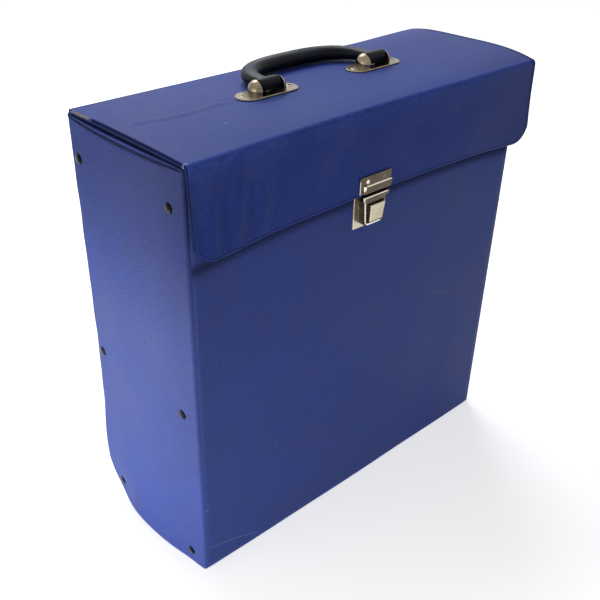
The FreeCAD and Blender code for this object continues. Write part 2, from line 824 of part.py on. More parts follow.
def grip_section(turn):
    """Oval section of the grip, square to its arch and fuller in the middle."""
    step = 0.002
    before = grip_point(max(turn - step, 0))
    after = grip_point(min(turn + step, math.pi))
    tangent = (after - before).normalize()
    droop = grip_rest_angle()
    normal = V(0, math.sin(droop), math.cos(droop))
    sideways = normal.cross(tangent)
    fullness = math.sin(turn)
    width = grip_root_width + (grip_mid_width - grip_root_width) * fullness
    thickness = grip_root_thickness + (grip_mid_thickness - grip_root_thickness) * fullness
    oval = Part.Wire(Part.Ellipse(V(0, 0, 0), width / 2, thickness / 2).toShape())
    oval.Placement = FreeCAD.Placement(grip_point(turn), FreeCAD.Rotation(sideways, normal, tangent, "ZXY"))
    return oval


def handle_grip():
    """Moulded grip: an arch that swells towards the middle, with an eye at each end."""
    count = grip_sections_per_half
    half = [math.pi / 2 * (i / count) ** grip_section_power_share for i in range(count + 1)]
    turns = half + [math.pi - turn for turn in reversed(half[:-1])]
    arch = Part.makeLoft([grip_section(turn) for turn in turns], True, True)
    eyes = [rod(V(x - eye_half, pivot_y, pivot_z), V(1, 0, 0), eye_radius, eye_length)
            for x in bracket_centres()]
    bores = [rod(V(x - eye_length, pivot_y, pivot_z), V(1, 0, 0), pin_radius + pin_running_fit,
                 2 * eye_length) for x in bracket_centres()]
    return arch.fuse(eyes).cut(bores)


def build():
    os.makedirs("parts", exist_ok=True)
    pairs = {"end_panel": end_panel(), "front_angle": front_angle(), "rear_angle": rear_angle(),
             "end_lining": end_lining()}
    for name, left in pairs.items():
        save(name + "_left", [left])
        save(name + "_right", [mirrored(left, 0)])
    save("end_rivets_left", end_rivets())
    save("end_rivets_right", [mirrored(solid, 0) for solid in end_rivets()])
    for side, x in zip(("left", "right"), bracket_centres()):
        save("handle_bracket_" + side, [bracket(x)])
        save("handle_pin_" + side, [handle_pin(x)])
        save("bracket_rivets_" + side, bracket_rivets(x))
        save("handle_backing_plate_" + side, [handle_backing_plate(x)])
    singles = {"front_board": front_board, "back_board": back_board, "body_lining": body_lining,
               "hinge_strip": hinge_strip, "lid_board": lid_board, "lid_lining": lid_lining,
               "crease_strip": crease_strip, "flap_board": flap_board, "flap_lining": flap_lining,
               "flap_plate": flap_plate, "lock_tongue": lock_tongue,
               "lock_base_plate": lock_base_plate, "lock_case": lock_case,
               "lock_backing_plate": lock_backing_plate, "lock_thumb_slide": lock_thumb_slide,
               "lock_catch": lock_catch, "lock_spring": lock_spring, "handle_grip": handle_grip}
    for name, make in singles.items():
        save(name, [make()])
    save("flap_rivets", flap_rivets())
    save("lock_rivets", lock_rivets())


build()
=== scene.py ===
"""Looks of a record carrying case: grained blue vinyl over board, nickel lock, black moulded handle.

Every piece is built over the imported solids, in metres. +Z is up, the front faces -Y and X runs
from the left end to the right end.
"""

import math

import bmesh
import bpy
import numpy as np
from bpy.props import FloatProperty, FloatVectorProperty, IntProperty, PointerProperty
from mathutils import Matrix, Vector


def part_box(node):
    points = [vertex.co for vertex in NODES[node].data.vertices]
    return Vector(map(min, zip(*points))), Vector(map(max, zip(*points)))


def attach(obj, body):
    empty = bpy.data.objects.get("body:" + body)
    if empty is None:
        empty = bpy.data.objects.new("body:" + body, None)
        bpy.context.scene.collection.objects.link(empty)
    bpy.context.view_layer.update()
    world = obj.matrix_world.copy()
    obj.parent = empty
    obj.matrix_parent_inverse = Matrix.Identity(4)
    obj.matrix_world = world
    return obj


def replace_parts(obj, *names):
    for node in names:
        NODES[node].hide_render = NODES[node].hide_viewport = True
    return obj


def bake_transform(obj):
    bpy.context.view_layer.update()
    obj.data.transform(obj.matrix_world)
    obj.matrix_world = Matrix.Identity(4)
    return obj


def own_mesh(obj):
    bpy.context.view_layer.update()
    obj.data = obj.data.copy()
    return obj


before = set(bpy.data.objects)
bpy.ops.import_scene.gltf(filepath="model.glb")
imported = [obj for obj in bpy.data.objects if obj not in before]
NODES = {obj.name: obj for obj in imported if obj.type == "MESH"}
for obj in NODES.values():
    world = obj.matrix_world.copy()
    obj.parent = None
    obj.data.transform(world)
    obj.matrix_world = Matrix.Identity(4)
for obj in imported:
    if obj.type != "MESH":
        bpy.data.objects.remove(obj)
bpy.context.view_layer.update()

bl_info = {
    "name": "Record Carrying Case",
    "version": (1, 0, 0),
    "blender": (4, 5, 0),
    "location": "View3D > Sidebar > Record Case",
    "description": "Builds the vinyl covers, lock, rivets and handle of a record carrying case",
    "category": "Object",
}

MM = 0.001
LID_LOW, LID_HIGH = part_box("lid_board")
FLAP_LOW, FLAP_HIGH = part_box("flap_board")
END_LOW, END_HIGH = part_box("end_panel_left")
FRONT_LOW, FRONT_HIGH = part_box("front_board")
BACK_LOW, BACK_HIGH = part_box("back_board")
HINGE_LOW, HINGE_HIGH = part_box("hinge_strip")
GRIP_LOW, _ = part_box("handle_grip")
PIN_LOW, PIN_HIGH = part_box("handle_pin_left")
THUMB_LOW, THUMB_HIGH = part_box("lock_thumb_slide")
BOARD = END_HIGH.x - END_LOW.x
LID_MIDDLE = (LID_LOW.y + LID_HIGH.y) / 2
LID_CENTRE = (LID_LOW.x + LID_HIGH.x) / 2
THUMB_MIDDLE = (THUMB_LOW.x + THUMB_HIGH.x) / 2
LOCK_MIDDLE = -5.5 * MM
BRACKET_REACH = 54 * MM
RIDGE_PITCH = 2.1 * MM
MERGE_DISTANCE = 0.002 * MM
HEAD_REACH = 6 * MM
HOLD_REACH = 13 * MM
BRACKET_RIVET_HEAD = 2.5 * MM
PIVOT = Vector((LID_CENTRE, (PIN_LOW.y + PIN_HIGH.y) / 2, (PIN_LOW.z + PIN_HIGH.z) / 2))
SIDES = ("left", "right")


# Sizes and colours that a user may change

def length(name, description, default, low, high):
    """Length with its limits, all in millimetres."""
    return FloatProperty(name=name, description=description, default=default * MM, min=low * MM,
                         max=high * MM, unit="LENGTH")


def tint(name, description, default):
    return FloatVectorProperty(name=name, description=description, default=default, subtype="COLOR",
                               min=0, max=1)


def lamp_power(name, description, default):
    return FloatProperty(name=name, description=description, default=default, min=0, unit="POWER")


class CoverSettings(bpy.types.PropertyGroup):
    """Shape of the vinyl-covered boards."""

    end_bulge: length("End Bulge", "How far the sprung ends belly out between their rivets", 6.2, 0, 10)
    flap_flare: length("Flap Flare", "How far the ends of the flap stand off the front", 4.2, 0, 10)
    fold_radius: length("Fold Radius", "Roundness of the front corners where the vinyl folds", 2.4, 0.5, 3)
    crown: length("Lid Crown", "Height of the middle of the lid over its edges", 3.0, 0, 6)
    rear_corner: length("Rear Corner", "Radius of the round lower rear corner", 45.0, 10, 60)
    flap_corner: length("Flap Corner", "Radius of the flap's lower corners", 19.0, 5, 30)


class HardwareSettings(bpy.types.PropertyGroup):
    """Sizes of the rivets, the handle and the edges of the metal."""

    rivet_radius: length("Rivet Radius", "Radius of the dark domed rivets of the ends", 4.0, 1, 6)
    rivet_height: length("Rivet Height", "Height of the domed heads of the ends' rivets", 1.3, 0.5, 3)
    rivet_sides: IntProperty(
        name="Rivet Sides", description="Number of sides round each rivet", default=28, min=8, max=64)
    metal_edge: length("Metal Edge", "Roundness of the stamped metal's edges", 0.22, 0.05, 0.5)
    grip_reach: length("Grip Reach", "How far the grip's middle lies behind its pins", 40.0, 30, 50)
    grip_thickness: length("Grip Thickness", "Thickness of the grip in its middle", 11.8, 10, 16)
    grip_root: length("Grip Root", "Thickness of the grip where it leaves its eyes", 7.6, 5, 10)


class FinishSettings(bpy.types.PropertyGroup):
    """Colours of the finishes."""

    vinyl: tint("Vinyl", "Colour of the blue vinyl", (0.019, 0.044, 0.252))
    # The worn colour also paints highlights on the ends' turned layers and along the lid's front fold.
    vinyl_worn_and_highlight: tint("Worn Vinyl", "Colour of the vinyl where it is scuffed", (0.070, 0.125, 0.560))
    raw_board: tint("Raw Board", "Colour of bare board at a worn edge", (0.260, 0.215, 0.175))
    lining: tint("Lining", "Colour of the paper lining", (0.030, 0.032, 0.042))
    nickel: tint("Nickel", "Colour of the nickel plate", (0.430, 0.385, 0.300))
    # This colour also paints the highlights along the lock's rims and edges.
    rubbed: tint("Rubbed Nickel", "Colour of the plate along edges that hands rub", (0.860, 0.810, 0.700))
    handle: tint("Handle", "Colour of the moulded handle", (0.006, 0.0075, 0.012))
    grain: length("Grain", "Size of one pebble of the vinyl's grain", 0.9, 0.3, 3)


class StageSettings(bpy.types.PropertyGroup):
    """Floor, lamps and camera."""

    key_power: lamp_power("Key Lamp", "Power of the large lamp on the left", 4.2)
    top_power: lamp_power("Top Lamp", "Power of the lamp above and behind", 20.5)
    front_power: lamp_power("Front Lamp", "Power of the low lamp in front", 0.5)
    side_power: lamp_power("Side Lamp", "Power of the low lamp on the left", 1.15)
    fill: FloatProperty(
        name="Fill", description="Strength of the even light from all round", default=0.2, min=0, max=2)
    floor: tint("Floor", "Colour of the floor", (0.89, 0.88, 0.86))
    lift: FloatProperty(
        name="Floor Lift", description="How much paler than lit the floor looks", default=0.6, min=0, max=1)
    lens: FloatProperty(
        name="Lens", description="Focal length of the camera in millimetres", default=50.09, min=20, max=120)


def settings(kind):
    """The scene's settings for the cover, hardware, finish or stage."""
    return getattr(bpy.context.scene, "record_case_" + kind)


# Meshes

def smooth(values, start, end):
    """Rises smoothly from 0 at start to 1 at end."""
    share = np.clip((np.asarray(values, float) - start) / (end - start), 0, 1)
    return share * share * (3 - 2 * share)


def hump(values, middle, width):
    """Bell that is 1 at middle and fades over width on both sides."""
    return np.exp(-((np.asarray(values, float) - middle) / width) ** 2)


def arch(share, power=2):
    """1 in the middle of a span from -1 to 1, and 0 at its ends and beyond."""
    return np.clip(1 - share ** power, 0, 1)


def dents(u, v, size, turn):
    """Even, shallow unevenness of hand-covered board, from -1 to 1, on coordinates of that size."""
    p, q = u / size, v / size
    waves = (np.sin(1.7 * p + 0.9 * q + turn) + np.sin(-1.1 * p + 2.3 * q + 2.1 * turn)
             + np.sin(2.9 * p - 1.3 * q + 0.7 * turn) + np.sin(0.6 * p + 3.7 * q + 1.3 * turn))
    return waves / 4


def grid(x, y, z):
    """Grid of points from three coordinates that fill it together."""
    return np.stack(np.broadcast_arrays(x, y, z), -1)


def points_of(mesh):
    points = np.zeros(len(mesh.vertices) * 3, np.float32)
    mesh.vertices.foreach_get("co", points)
    return points.reshape(-1, 3)


def link_object(name, data):
    obj = bpy.data.objects.new(name, data)
    bpy.context.scene.collection.objects.link(obj)
    return obj


def new_mesh(name, shape):
    """Mesh from a finished bmesh."""
    mesh = bpy.data.meshes.new(name)
    shape.to_mesh(mesh)
    shape.free()
    return mesh


def turn_outward(mesh):
    shape = bmesh.new()
    shape.from_mesh(mesh)
    bmesh.ops.recalc_face_normals(shape, faces=shape.faces)
    shape.to_mesh(mesh)
    shape.free()


def sheet_piece(name, outer, inner, rounding, marks, plan, steps=5):
    """Closed sheet between two matching grids of points, with rounded edges.

    rounding gives the four sides' roundness: first row, last row, first column, last column.
    marks are vertex values on the grid with values for the rim, one number or a set for each step
    round it, and plan is the grid's own flat map.
    """
    rows, cols = outer.shape[:2]
    ring = ([(0, j) for j in range(cols)] + [(i, cols - 1) for i in range(1, rows)]
            + [(rows - 1, j) for j in range(cols - 2, -1, -1)] + [(i, 0) for i in range(rows - 2, 0, -1)])
    at = np.array([i * cols + j for i, j in ring])
    flat_outer, flat_inner = outer.reshape(-1, 3), inner.reshape(-1, 3)
    away = np.zeros((len(ring), 3))
    roundness = np.zeros(len(ring))
    for k, (i, j) in enumerate(ring):
        found = []
        for here, side, near in ((i == 0, 0, (1, j)), (i == rows - 1, 1, (rows - 2, j)),
                                 (j == 0, 2, (i, 1)), (j == cols - 1, 3, (i, cols - 2))):
            if here:
                out = outer[i, j] - outer[near]
                away[k] += out / max(np.linalg.norm(out), 1e-9)
                found.append(rounding[side])
        away[k] /= max(np.linalg.norm(away[k]), 1e-9)
        roundness[k] = min(found)
    middle = (flat_outer[at] + flat_inner[at]) / 2
    half = (flat_outer[at] - flat_inner[at]) / 2
    reach = np.linalg.norm(half, axis=1)[:, None] * roundness[:, None]
    count = rows * cols
    points = [flat_outer, flat_inner]
    for k in range(1, steps + 1):
        turn = math.pi * k / (steps + 1)
        points.append(middle + half * math.cos(turn) + away * reach * math.sin(turn))
    cells = np.arange(count).reshape(rows, cols)
    corners = (cells[:-1, :-1], cells[:-1, 1:], cells[1:, 1:], cells[1:, :-1])
    quads = np.stack(corners, -1).reshape(-1, 4)
    faces = [quads, quads[:, ::-1] + count]
    loops = [at] + [2 * count + k * len(ring) + np.arange(len(ring)) for k in range(steps)] + [at + count]
    for low, high in zip(loops[:-1], loops[1:]):
        faces.append(np.stack([low, high, np.roll(high, -1), np.roll(low, -1)], -1))
    mesh = bpy.data.meshes.new(name)
    mesh.from_pydata(np.concatenate(points).tolist(), [], np.concatenate(faces).tolist())
    for label, (values, rim) in marks.items():
        flat = np.asarray(values, float).reshape(-1)
        sets = np.broadcast_to(rim, (steps, count))
        whole = [flat, flat * 0] + [np.maximum(flat[at], one[at]) for one in sets]
        layer = mesh.attributes.new(label, "FLOAT", "POINT")
        layer.data.foreach_set("value", np.concatenate(whole).astype(np.float32))
    turn_outward(mesh)
    flat = plan.reshape(-1, 2)
    whole = np.concatenate([flat, flat] + [flat[at]] * steps)
    corners = np.zeros(len(mesh.loops), np.int32)
    mesh.loops.foreach_get("vertex_index", corners)
    layer = mesh.uv_layers.new(name="plan")
    layer.data.foreach_set("uv", whole[corners].astype(np.float32).ravel())
    mesh.shade_smooth()
    return link_object(name, mesh)


def applied(obj):
    """Turns the object with its modifiers into a plain mesh."""
    bpy.context.view_layer.update()
    evaluated = obj.evaluated_get(bpy.context.evaluated_depsgraph_get())
    mesh = bpy.data.meshes.new_from_object(evaluated)
    obj.modifiers.clear()
    old = obj.data
    obj.data = mesh
    mesh.name = obj.name
    if old.users == 0:
        bpy.data.meshes.remove(old)
    return obj


def mirrored_copy(obj, name):
    """The same mesh on the other side of the middle plane."""
    mesh = obj.data.copy()
    mesh.name = name
    mesh.vertices.foreach_set("co", (points_of(mesh) * (-1, 1, 1)).ravel())
    turn_outward(mesh)
    mesh.shade_smooth()
    return link_object(name, mesh)


def softened_metal(name, source, width, material, edge_material, side_material=None):
    """Copy of a stamped piece with its sharp edges rounded off and rubbed bright.

    side_material, where given, covers the faces that look to the left.
    """
    shape = bmesh.new()
    shape.from_mesh(NODES[source].data)
    bmesh.ops.remove_doubles(shape, verts=shape.verts, dist=MERGE_DISTANCE)
    bmesh.ops.dissolve_limit(shape, angle_limit=math.radians(0.8), verts=shape.verts, edges=shape.edges)
    mesh = new_mesh(name, shape)
    turn_outward(mesh)
    mesh.shade_smooth()
    obj = link_object(name, mesh)
    paint(obj, material)
    mesh.materials.append(edge_material)
    if side_material is not None:
        mesh.materials.append(side_material)
        for face in mesh.polygons:
            face.material_index = 2 if face.normal.x < -0.7 else 0
    bevel = obj.modifiers.new("edges", "BEVEL")
    bevel.material = 1
    bevel.width = width
    bevel.segments = 3
    bevel.limit_method = "ANGLE"
    bevel.angle_limit = math.radians(38)
    obj.modifiers.new("faces", "WEIGHTED_NORMAL").keep_sharp = True
    return applied(obj)


def divided_copy(name, source, cuts):
    """Copy of an imported piece with its faces cut into strips, by (axis, count)."""
    low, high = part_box(source)
    shape = bmesh.new()
    shape.from_mesh(NODES[source].data)
    bmesh.ops.remove_doubles(shape, verts=shape.verts, dist=MERGE_DISTANCE)
    for axis, count in cuts:
        normal = Vector([float(k == axis) for k in range(3)])
        for k in range(1, count):
            place = normal * (low[axis] + (high[axis] - low[axis]) * k / count)
            parts = shape.verts[:] + shape.edges[:] + shape.faces[:]
            bmesh.ops.bisect_plane(shape, geom=parts, plane_co=place, plane_no=normal)
    bmesh.ops.recalc_face_normals(shape, faces=shape.faces)
    return link_object(name, new_mesh(name, shape))


def shifted(obj, axis, shift):
    """Moves the points of a piece along an axis by shift(x, y, z)."""
    points = points_of(obj.data).astype(float)
    points[:, axis] += shift(*points.T)
    obj.data.vertices.foreach_set("co", points.ravel())
    obj.data.update()
    return obj


# Nodes

class Wire:
    """Output of a node. Sums and products of wires and numbers make Math nodes."""

    def __init__(self, socket):
        self.socket, self.tree = socket, socket.id_data

    def maths(self, operation, *others, clamp=False):
        return node(self.tree, "ShaderNodeMath", dict(enumerate((self, *others))), operation=operation,
                    use_clamp=clamp)[0]

    def __add__(self, other):
        return self.maths("ADD", other)

    def __sub__(self, other):
        return self.maths("SUBTRACT", other)

    def __mul__(self, other):
        return self.maths("MULTIPLY", other)

    def __truediv__(self, other):
        return self.maths("DIVIDE", other)


class Outputs:
    """A node's outputs as wires, by name or number."""

    def __init__(self, made):
        self.made = made

    def __getitem__(self, key):
        return Wire(self.made.outputs[key])


def feed(inputs, given):
    """Sets a node's inputs. Each is a plain value or the wire that feeds it."""
    for key, value in given.items():
        if isinstance(value, Wire):
            value.tree.links.new(value.socket, inputs[key])
        else:
            inputs[key].default_value = value


def node(tree, kind, given=None, **values):
    """Adds a node and returns its outputs."""
    made = tree.nodes.new(kind)
    for key, value in values.items():
        setattr(made, key, value)
    feed(made.inputs, given or {})
    return Outputs(made)


def ramp(value, low, high):
    """Smooth share of the way from low to high."""
    return node(value.tree, "ShaderNodeMapRange", {"Value": value, "From Min": low, "From Max": high},
                interpolation_type="SMOOTHSTEP")["Result"]


def mix(share, first, second):
    """First colour where share is 0, second where it is 1."""
    return node(share.tree, "ShaderNodeMix", {0: share, 6: first, 7: second}, data_type="RGBA")[2]


def noise(place, scale, detail, roughness=0.5):
    return node(place.tree, "ShaderNodeTexNoise",
                {"Vector": place, "Scale": scale, "Detail": detail, "Roughness": roughness})[0]


def vector(operation, first, second=(0, 0, 0), output="Vector"):
    return node(first.tree, "ShaderNodeVectorMath", {0: first, 1: second}, operation=operation)[output]


def part(place, axis):
    return node(place.tree, "ShaderNodeSeparateXYZ", {0: place})[axis]


def joined(tree, **parts):
    return node(tree, "ShaderNodeCombineXYZ", parts)[0]


def mark(tree, name):
    """Values of that name on the piece's points."""
    return node(tree, "ShaderNodeAttribute", attribute_name=name)["Fac"]


def folded(operation, wires):
    """One wire from several, such as the largest of them."""
    whole = wires[0]
    for wire in wires[1:]:
        whole = whole.maths(operation, wire)
    return whole


# Shader groups

def pebble_grain(given):
    """Pebbled height and slow tone changes of embossed cloth or moulded plastic."""
    place, scale = given["Place"], given["Grain Scale"]
    cells = node(place.tree, "ShaderNodeTexVoronoi", {"Vector": place, "Scale": scale}, feature="SMOOTH_F1")
    height = noise(place, scale * 0.34, 3.0) * 0.7 + cells["Distance"]
    speckle = ramp(noise(place, scale * 0.5, 1.0), 0.25, 0.75)
    return height, ramp(noise(place, given["Tone Scale"], 5.0, 0.62), 0.3, 0.7), speckle


def edge_wear(given):
    """Breaks a plain wear mask up into patches and specks."""
    broken = ramp(noise(given["Place"], given["Patch Scale"], 6.0, 0.7), 0.36, 0.66)
    lifted = given["Mask"] * given["Amount"]
    hard = ramp(lifted - broken * 0.55, 0.02, 0.5)
    soft = lifted.maths("MULTIPLY", broken * -0.5 + 1.0, clamp=True)
    return (hard + (soft - hard) * given["Softness"],)


def scuff_line(given):
    """Mask of one thin, bowed scratch on a flat map."""
    run = vector("SUBTRACT", given["End"], given["Start"])
    off = vector("SUBTRACT", given["Plan"], given["Start"])
    square = vector("DOT_PRODUCT", run, run, "Value")
    share = vector("DOT_PRODUCT", off, run, "Value") / square
    distance = part(vector("CROSS_PRODUCT", off, run), "Z") / square.maths("SQRT")
    bow = share * (share * -1.0 + 1.0) * 4.0 * given["Bow"]
    bowed = (distance - bow).maths("ABSOLUTE") / given["Width"] * -1.0
    thin = bowed.maths("ADD", 1.0, clamp=True)
    return (thin * (ramp(share, -0.02, 0.1) * ramp(share, 1.02, 0.9)),)


def tarnish(given):
    """Cloudy film and small pits on old plate."""
    place, scale = given["Place"], given["Cloud Scale"]
    return ramp(noise(place, scale, 7.0, 0.65), 0.38, 0.72) * given["Amount"], noise(place, scale * 14.0, 2.0)


GROUPS = {
    "Pebble Grain": (pebble_grain, {"Place": None, "Grain Scale": 1100.0, "Tone Scale": 14.0},
                     ("Height", "Tone", "Speckle")),
    "Edge Wear": (edge_wear, {"Mask": 0.0, "Place": None, "Patch Scale": 180.0, "Amount": 1.0,
                              "Softness": 0.0}, ("Wear",)),
    "Scuff Line": (scuff_line, {"Plan": None, "Start": None, "End": None, "Bow": 0.0, "Width": 0.0006},
                   ("Mask",)),
    "Tarnish": (tarnish, {"Place": None, "Cloud Scale": 160.0, "Amount": 0.6}, ("Film", "Height")),
}


def group(place, name, **given):
    """Outputs of a shader group, made on first use. An input with no value of its own is a vector."""
    made = bpy.data.node_groups.get(name)
    if made is None:
        fill, inputs, outputs = GROUPS[name]
        made = bpy.data.node_groups.new(name, "ShaderNodeTree")
        for label, value in inputs.items():
            kind = "NodeSocketVector" if value is None else "NodeSocketFloat"
            socket = made.interface.new_socket(label, in_out="INPUT", socket_type=kind)
            if value is not None:
                socket.default_value = value
        for label in outputs:
            made.interface.new_socket(label, in_out="OUTPUT", socket_type="NodeSocketFloat")
        results = fill(node(made, "NodeGroupInput"))
        feed(made.nodes.new("NodeGroupOutput").inputs, dict(zip(outputs, results)))
    spelled = {key.replace("_", " ").title(): value for key, value in given.items()}
    start = {"Place": place} if "Place" in GROUPS[name][1] else {"Plan": place}
    return node(place.tree, "ShaderNodeGroup", {**start, **spelled}, node_tree=made)


def scuff(plan, start, end, width, bow=0.0):
    return group(plan, "Scuff Line", start=(*start, 0), end=(*end, 0), bow=bow, width=width)["Mask"]


# Finishes

def new_material(name):
    """Material with its surface and the piece's Object coordinates."""
    material = bpy.data.materials.new(name)
    material.use_nodes = True
    tree = material.node_tree
    tree.nodes.clear()
    surface = node(tree, "ShaderNodeBsdfPrincipled")
    feed(tree.nodes.new("ShaderNodeOutputMaterial").inputs, {0: surface[0]})
    return material, surface, node(tree, "ShaderNodeTexCoord")["Object"]


def finish(surface, base, rough, height, distance, strength, specular=0.5, metallic=0.0):
    """Feeds a surface with its colour, roughness and grain."""
    bump = node(height.tree, "ShaderNodeBump", {"Height": height, "Distance": distance, "Strength": strength})
    feed(surface.made.inputs, {"Base Color": base, "Roughness": rough, "Metallic": metallic,
                               "Specular IOR Level": specular, "Normal": bump[0]})


def paint(obj, material):
    obj.data.materials.clear()
    obj.data.materials.append(material)


def shade(value, *factors):
    """Opaque colour times each factor, which is one number or one for each channel."""
    tone = np.array(value[:3])
    for factor in factors:
        tone = tone * factor
    return (*tone, 1.0)


def vinyl(name, scuffs=(), specks=(), gloss=0.24, dust_and_sheen=0.0, light_tint=1.0, relief=0.6):
    """Grained blue vinyl, worn along folds, with its own scuffs and specks on the piece's plan.

    dust is the strength of the greyish clouds that handling leaves, and fade multiplies the colour.
    """
    look = settings("finish")
    material, surface, place = new_material(name)
    tree = place.tree
    grain = group(place, "Pebble Grain", grain_scale=1 / look.grain, tone_scale=16.0)
    wear = group(place, "Edge Wear", mask=mark(tree, "wear"), patch_scale=420.0, softness=0.6)["Wear"]
    seam = mark(tree, "seam")
    tone = grain["Speckle"] * 0.6 + grain["Tone"] * 0.4
    base = mix(tone, shade(look.vinyl, light_tint, 0.76), shade(look.vinyl, light_tint, 1.24))
    if dust_and_sheen:
        # Greyish clouds: dust, and a painted sheen that greys the vinyl towards +X.
        clouds = ramp(part(place, "X"), 0.05, 0.17) * (1.6 * dust_and_sheen) + ramp(grain["Tone"], 0.35, 0.9) * dust_and_sheen
        base = mix(clouds, base, (0.085, 0.098, 0.195, 1.0))
    # Lighter where the first mark paints it: wear, and painted highlights on the ends' turned layers and
    # along the lid's front fold.
    base = mix(wear, base, shade(look.vinyl_worn_and_highlight))
    # Darker where the second mark paints it: real seams, and painted shade under the flap, on the ends' upper
    # parts and turned layers and along the lid's rims.
    base = mix(seam.maths("MULTIPLY", 1.0, clamp=True), base, shade(look.vinyl, 0.09))
    if scuffs or specks:
        plan = node(tree, "ShaderNodeUVMap", uv_map="plan")[0]
        marks = [scuff(plan, start, end, width, bow) * strength
                 for start, end, bow, width, strength in scuffs]
        for spot, radius, strength in specks:
            gap = vector("DISTANCE", plan, (*spot, 0), "Value")
            marks.append(ramp(gap, radius, radius * 0.5) * strength)
        base = mix(folded("MAXIMUM", marks), base, (0.55, 0.57, 0.66, 1.0))
    bare = group(place, "Edge Wear", mask=mark(tree, "raw"), patch_scale=420.0, amount=1.4)
    base = mix(bare["Wear"], base, shade(look.raw_board))
    rough = grain["Tone"] * 0.08 + 0.5 + wear * 0.16 + seam * 0.4 + grain["Height"] * 0.05
    finish(surface, base, rough, grain["Height"], 0.0003, relief, specular=gloss)
    return material


def lining():
    """Dark matt lining paper with a faint fibre."""
    name = "paper_of_lining"
    if name in bpy.data.materials:
        return bpy.data.materials[name]
    paper = settings("finish").lining
    material, surface, place = new_material(name)
    grain = group(place, "Pebble Grain", grain_scale=2400.0, tone_scale=40.0)
    base = mix(grain["Tone"], shade(paper, 0.8), shade(paper, 1.5))
    finish(surface, base, grain["Height"] * 0.1 + 0.8, grain["Height"], 0.00005, 0.5, specular=0.25)
    return material


def painted_steel():
    """Black paint on steel, rubbed through in places."""
    material, surface, place = new_material("painted_steel")
    film = group(place, "Tarnish", cloud_scale=120.0, amount=0.8)
    base = mix(film["Film"], (0.022, 0.022, 0.024, 1), (0.06, 0.055, 0.05, 1))
    finish(surface, base, film["Film"] * 0.25 + 0.42, film["Height"], 0.00004, 0.4,
           metallic=film["Film"] * 0.5)
    return material


def moulded_black():
    """Black moulded plastic, satin, rubbed greyer where hands wear it."""
    black = settings("finish").handle
    material, surface, place = new_material("moulded_black")
    grain = group(place, "Pebble Grain", grain_scale=1500.0, tone_scale=60.0)
    wear = group(place, "Edge Wear", mask=mark(place.tree, "wear"), patch_scale=120.0)["Wear"]
    base = mix(wear, mix(grain["Tone"], shade(black, 0.75), shade(black, 1.35)), shade(black, 3.6))
    rough = grain["Tone"] * 0.12 + 0.3 + wear * 0.22
    finish(surface, base, rough, grain["Height"], 0.0002, 0.5, specular=0.11)
    return material


# Each metal: the colour it starts from, its bright and its dull tone, the roughness of both, the
# scale of its clouds and how far they cover it

METALS = {
    "nickel_plate": ("nickel", 1.0, 0.6, 0.24, 0.4, 110.0, 0.6),
    # Bright bevelled edges: worn plate and painted highlight.
    "rubbed_edge": ("nickel", 1.7, 1.2, 0.24, 0.4, 300.0, 0.6),
    # Brown tarnish, made darker as a painted dark reflection.
    "browned_housing": ("nickel", (0.27, 0.225, 0.21), (0.135, 0.1125, 0.105), 0.2, 0.36, 90.0, 0.8),
    "browned_clasp": ("nickel", (0.27, 0.225, 0.21), (0.135, 0.1125, 0.105), 0.2, 0.36, 90.0, 0.8),
    "clean_nickel": ("nickel", 1.35, 0.95, 0.3, 0.42, 60.0, 0.5),
    "yellowed_nickel": ("nickel", (0.66, 0.60, 0.53), (0.264, 0.24, 0.212), 0.2, 0.42, 130.0, 0.9),
    "ridged_nickel": ("nickel", 1.25, 0.9, 0.26, 0.4, 160.0, 0.6),
    "hollow_rivet": ("nickel", 0.8, 0.4, 0.25, 0.42, 300.0, 0.6),
    "clasp_rivet": ("rubbed", 1.0, (0.6, 0.57037, 0.514286), 0.2, 0.36, 160.0, 0.5),
    # Near black: painted shade on the sides of the lock's housing that look to the left.
    "greased_nickel": (None, (0.060, 0.055, 0.050), (0.012, 0.011, 0.010), 0.3, 0.5, 120.0, 0.8),
    "bare_spring_steel": (None, (0.42, 0.42, 0.44), (0.2, 0.19, 0.18), 0.25, 0.5, 300.0, 0.6),
    "dark_bronze": (None, (0.005, 0.0048, 0.005), (0.002, 0.002, 0.003), 0.16, 0.3, 500.0, 0.8),
}


def metal(name, mask=None):
    """One of the metals, with a cloudy film. mask(place) gives a share and the colour that it shows."""
    if name in bpy.data.materials:
        return bpy.data.materials[name]
    start, bright, dull, clear, clouded, scale, amount = METALS[name]
    base = getattr(settings("finish"), start) if start else (1, 1, 1)
    material, surface, place = new_material(name)
    film = group(place, "Tarnish", cloud_scale=scale, amount=amount)
    tone = mix(film["Film"], shade(base, bright), shade(base, dull))
    if mask:
        share, colour = mask(place)
        tone = mix(share, tone, colour)
    finish(surface, tone, film["Film"] * (clouded - clear) + clear, film["Height"], 0.00002, 0.12,
           metallic=1.0)
    return material


def painted_highlights_along(lines):
    """Mask for metal(): lines (start, end, width) in millimetres, seen from the front."""
    def mask(place):
        flat = joined(place.tree, X=part(place, "X"), Y=part(place, "Z"))
        found = [scuff(flat, np.multiply(start, MM), np.multiply(end, MM), width * MM)
                 for start, end, width in lines]
        return ramp(folded("MAXIMUM", found), 0.0, 0.55), shade(settings("finish").rubbed)
    return mask


def darker_grooves(place):
    """Dirt between the thumb piece's upright ridges."""
    off = part(place, "X") - THUMB_MIDDLE
    groove = ramp((off * (2 * math.pi / RIDGE_PITCH)).maths("COSINE"), 0.45, 0.95)
    inside = ramp(off.maths("ABSOLUTE"), 2.55 * RIDGE_PITCH, 2.45 * RIDGE_PITCH)
    return groove * inside, shade(settings("finish").nickel, 0.45)


def browned_right(place):
    """The clasp plate's right rivet is still brown, where the left one is rubbed bright."""
    share = ramp(part(place, "X"), THUMB_MIDDLE - 1 * MM, THUMB_MIDDLE + 1 * MM)
    return share, shade(settings("finish").nickel, 0.36)


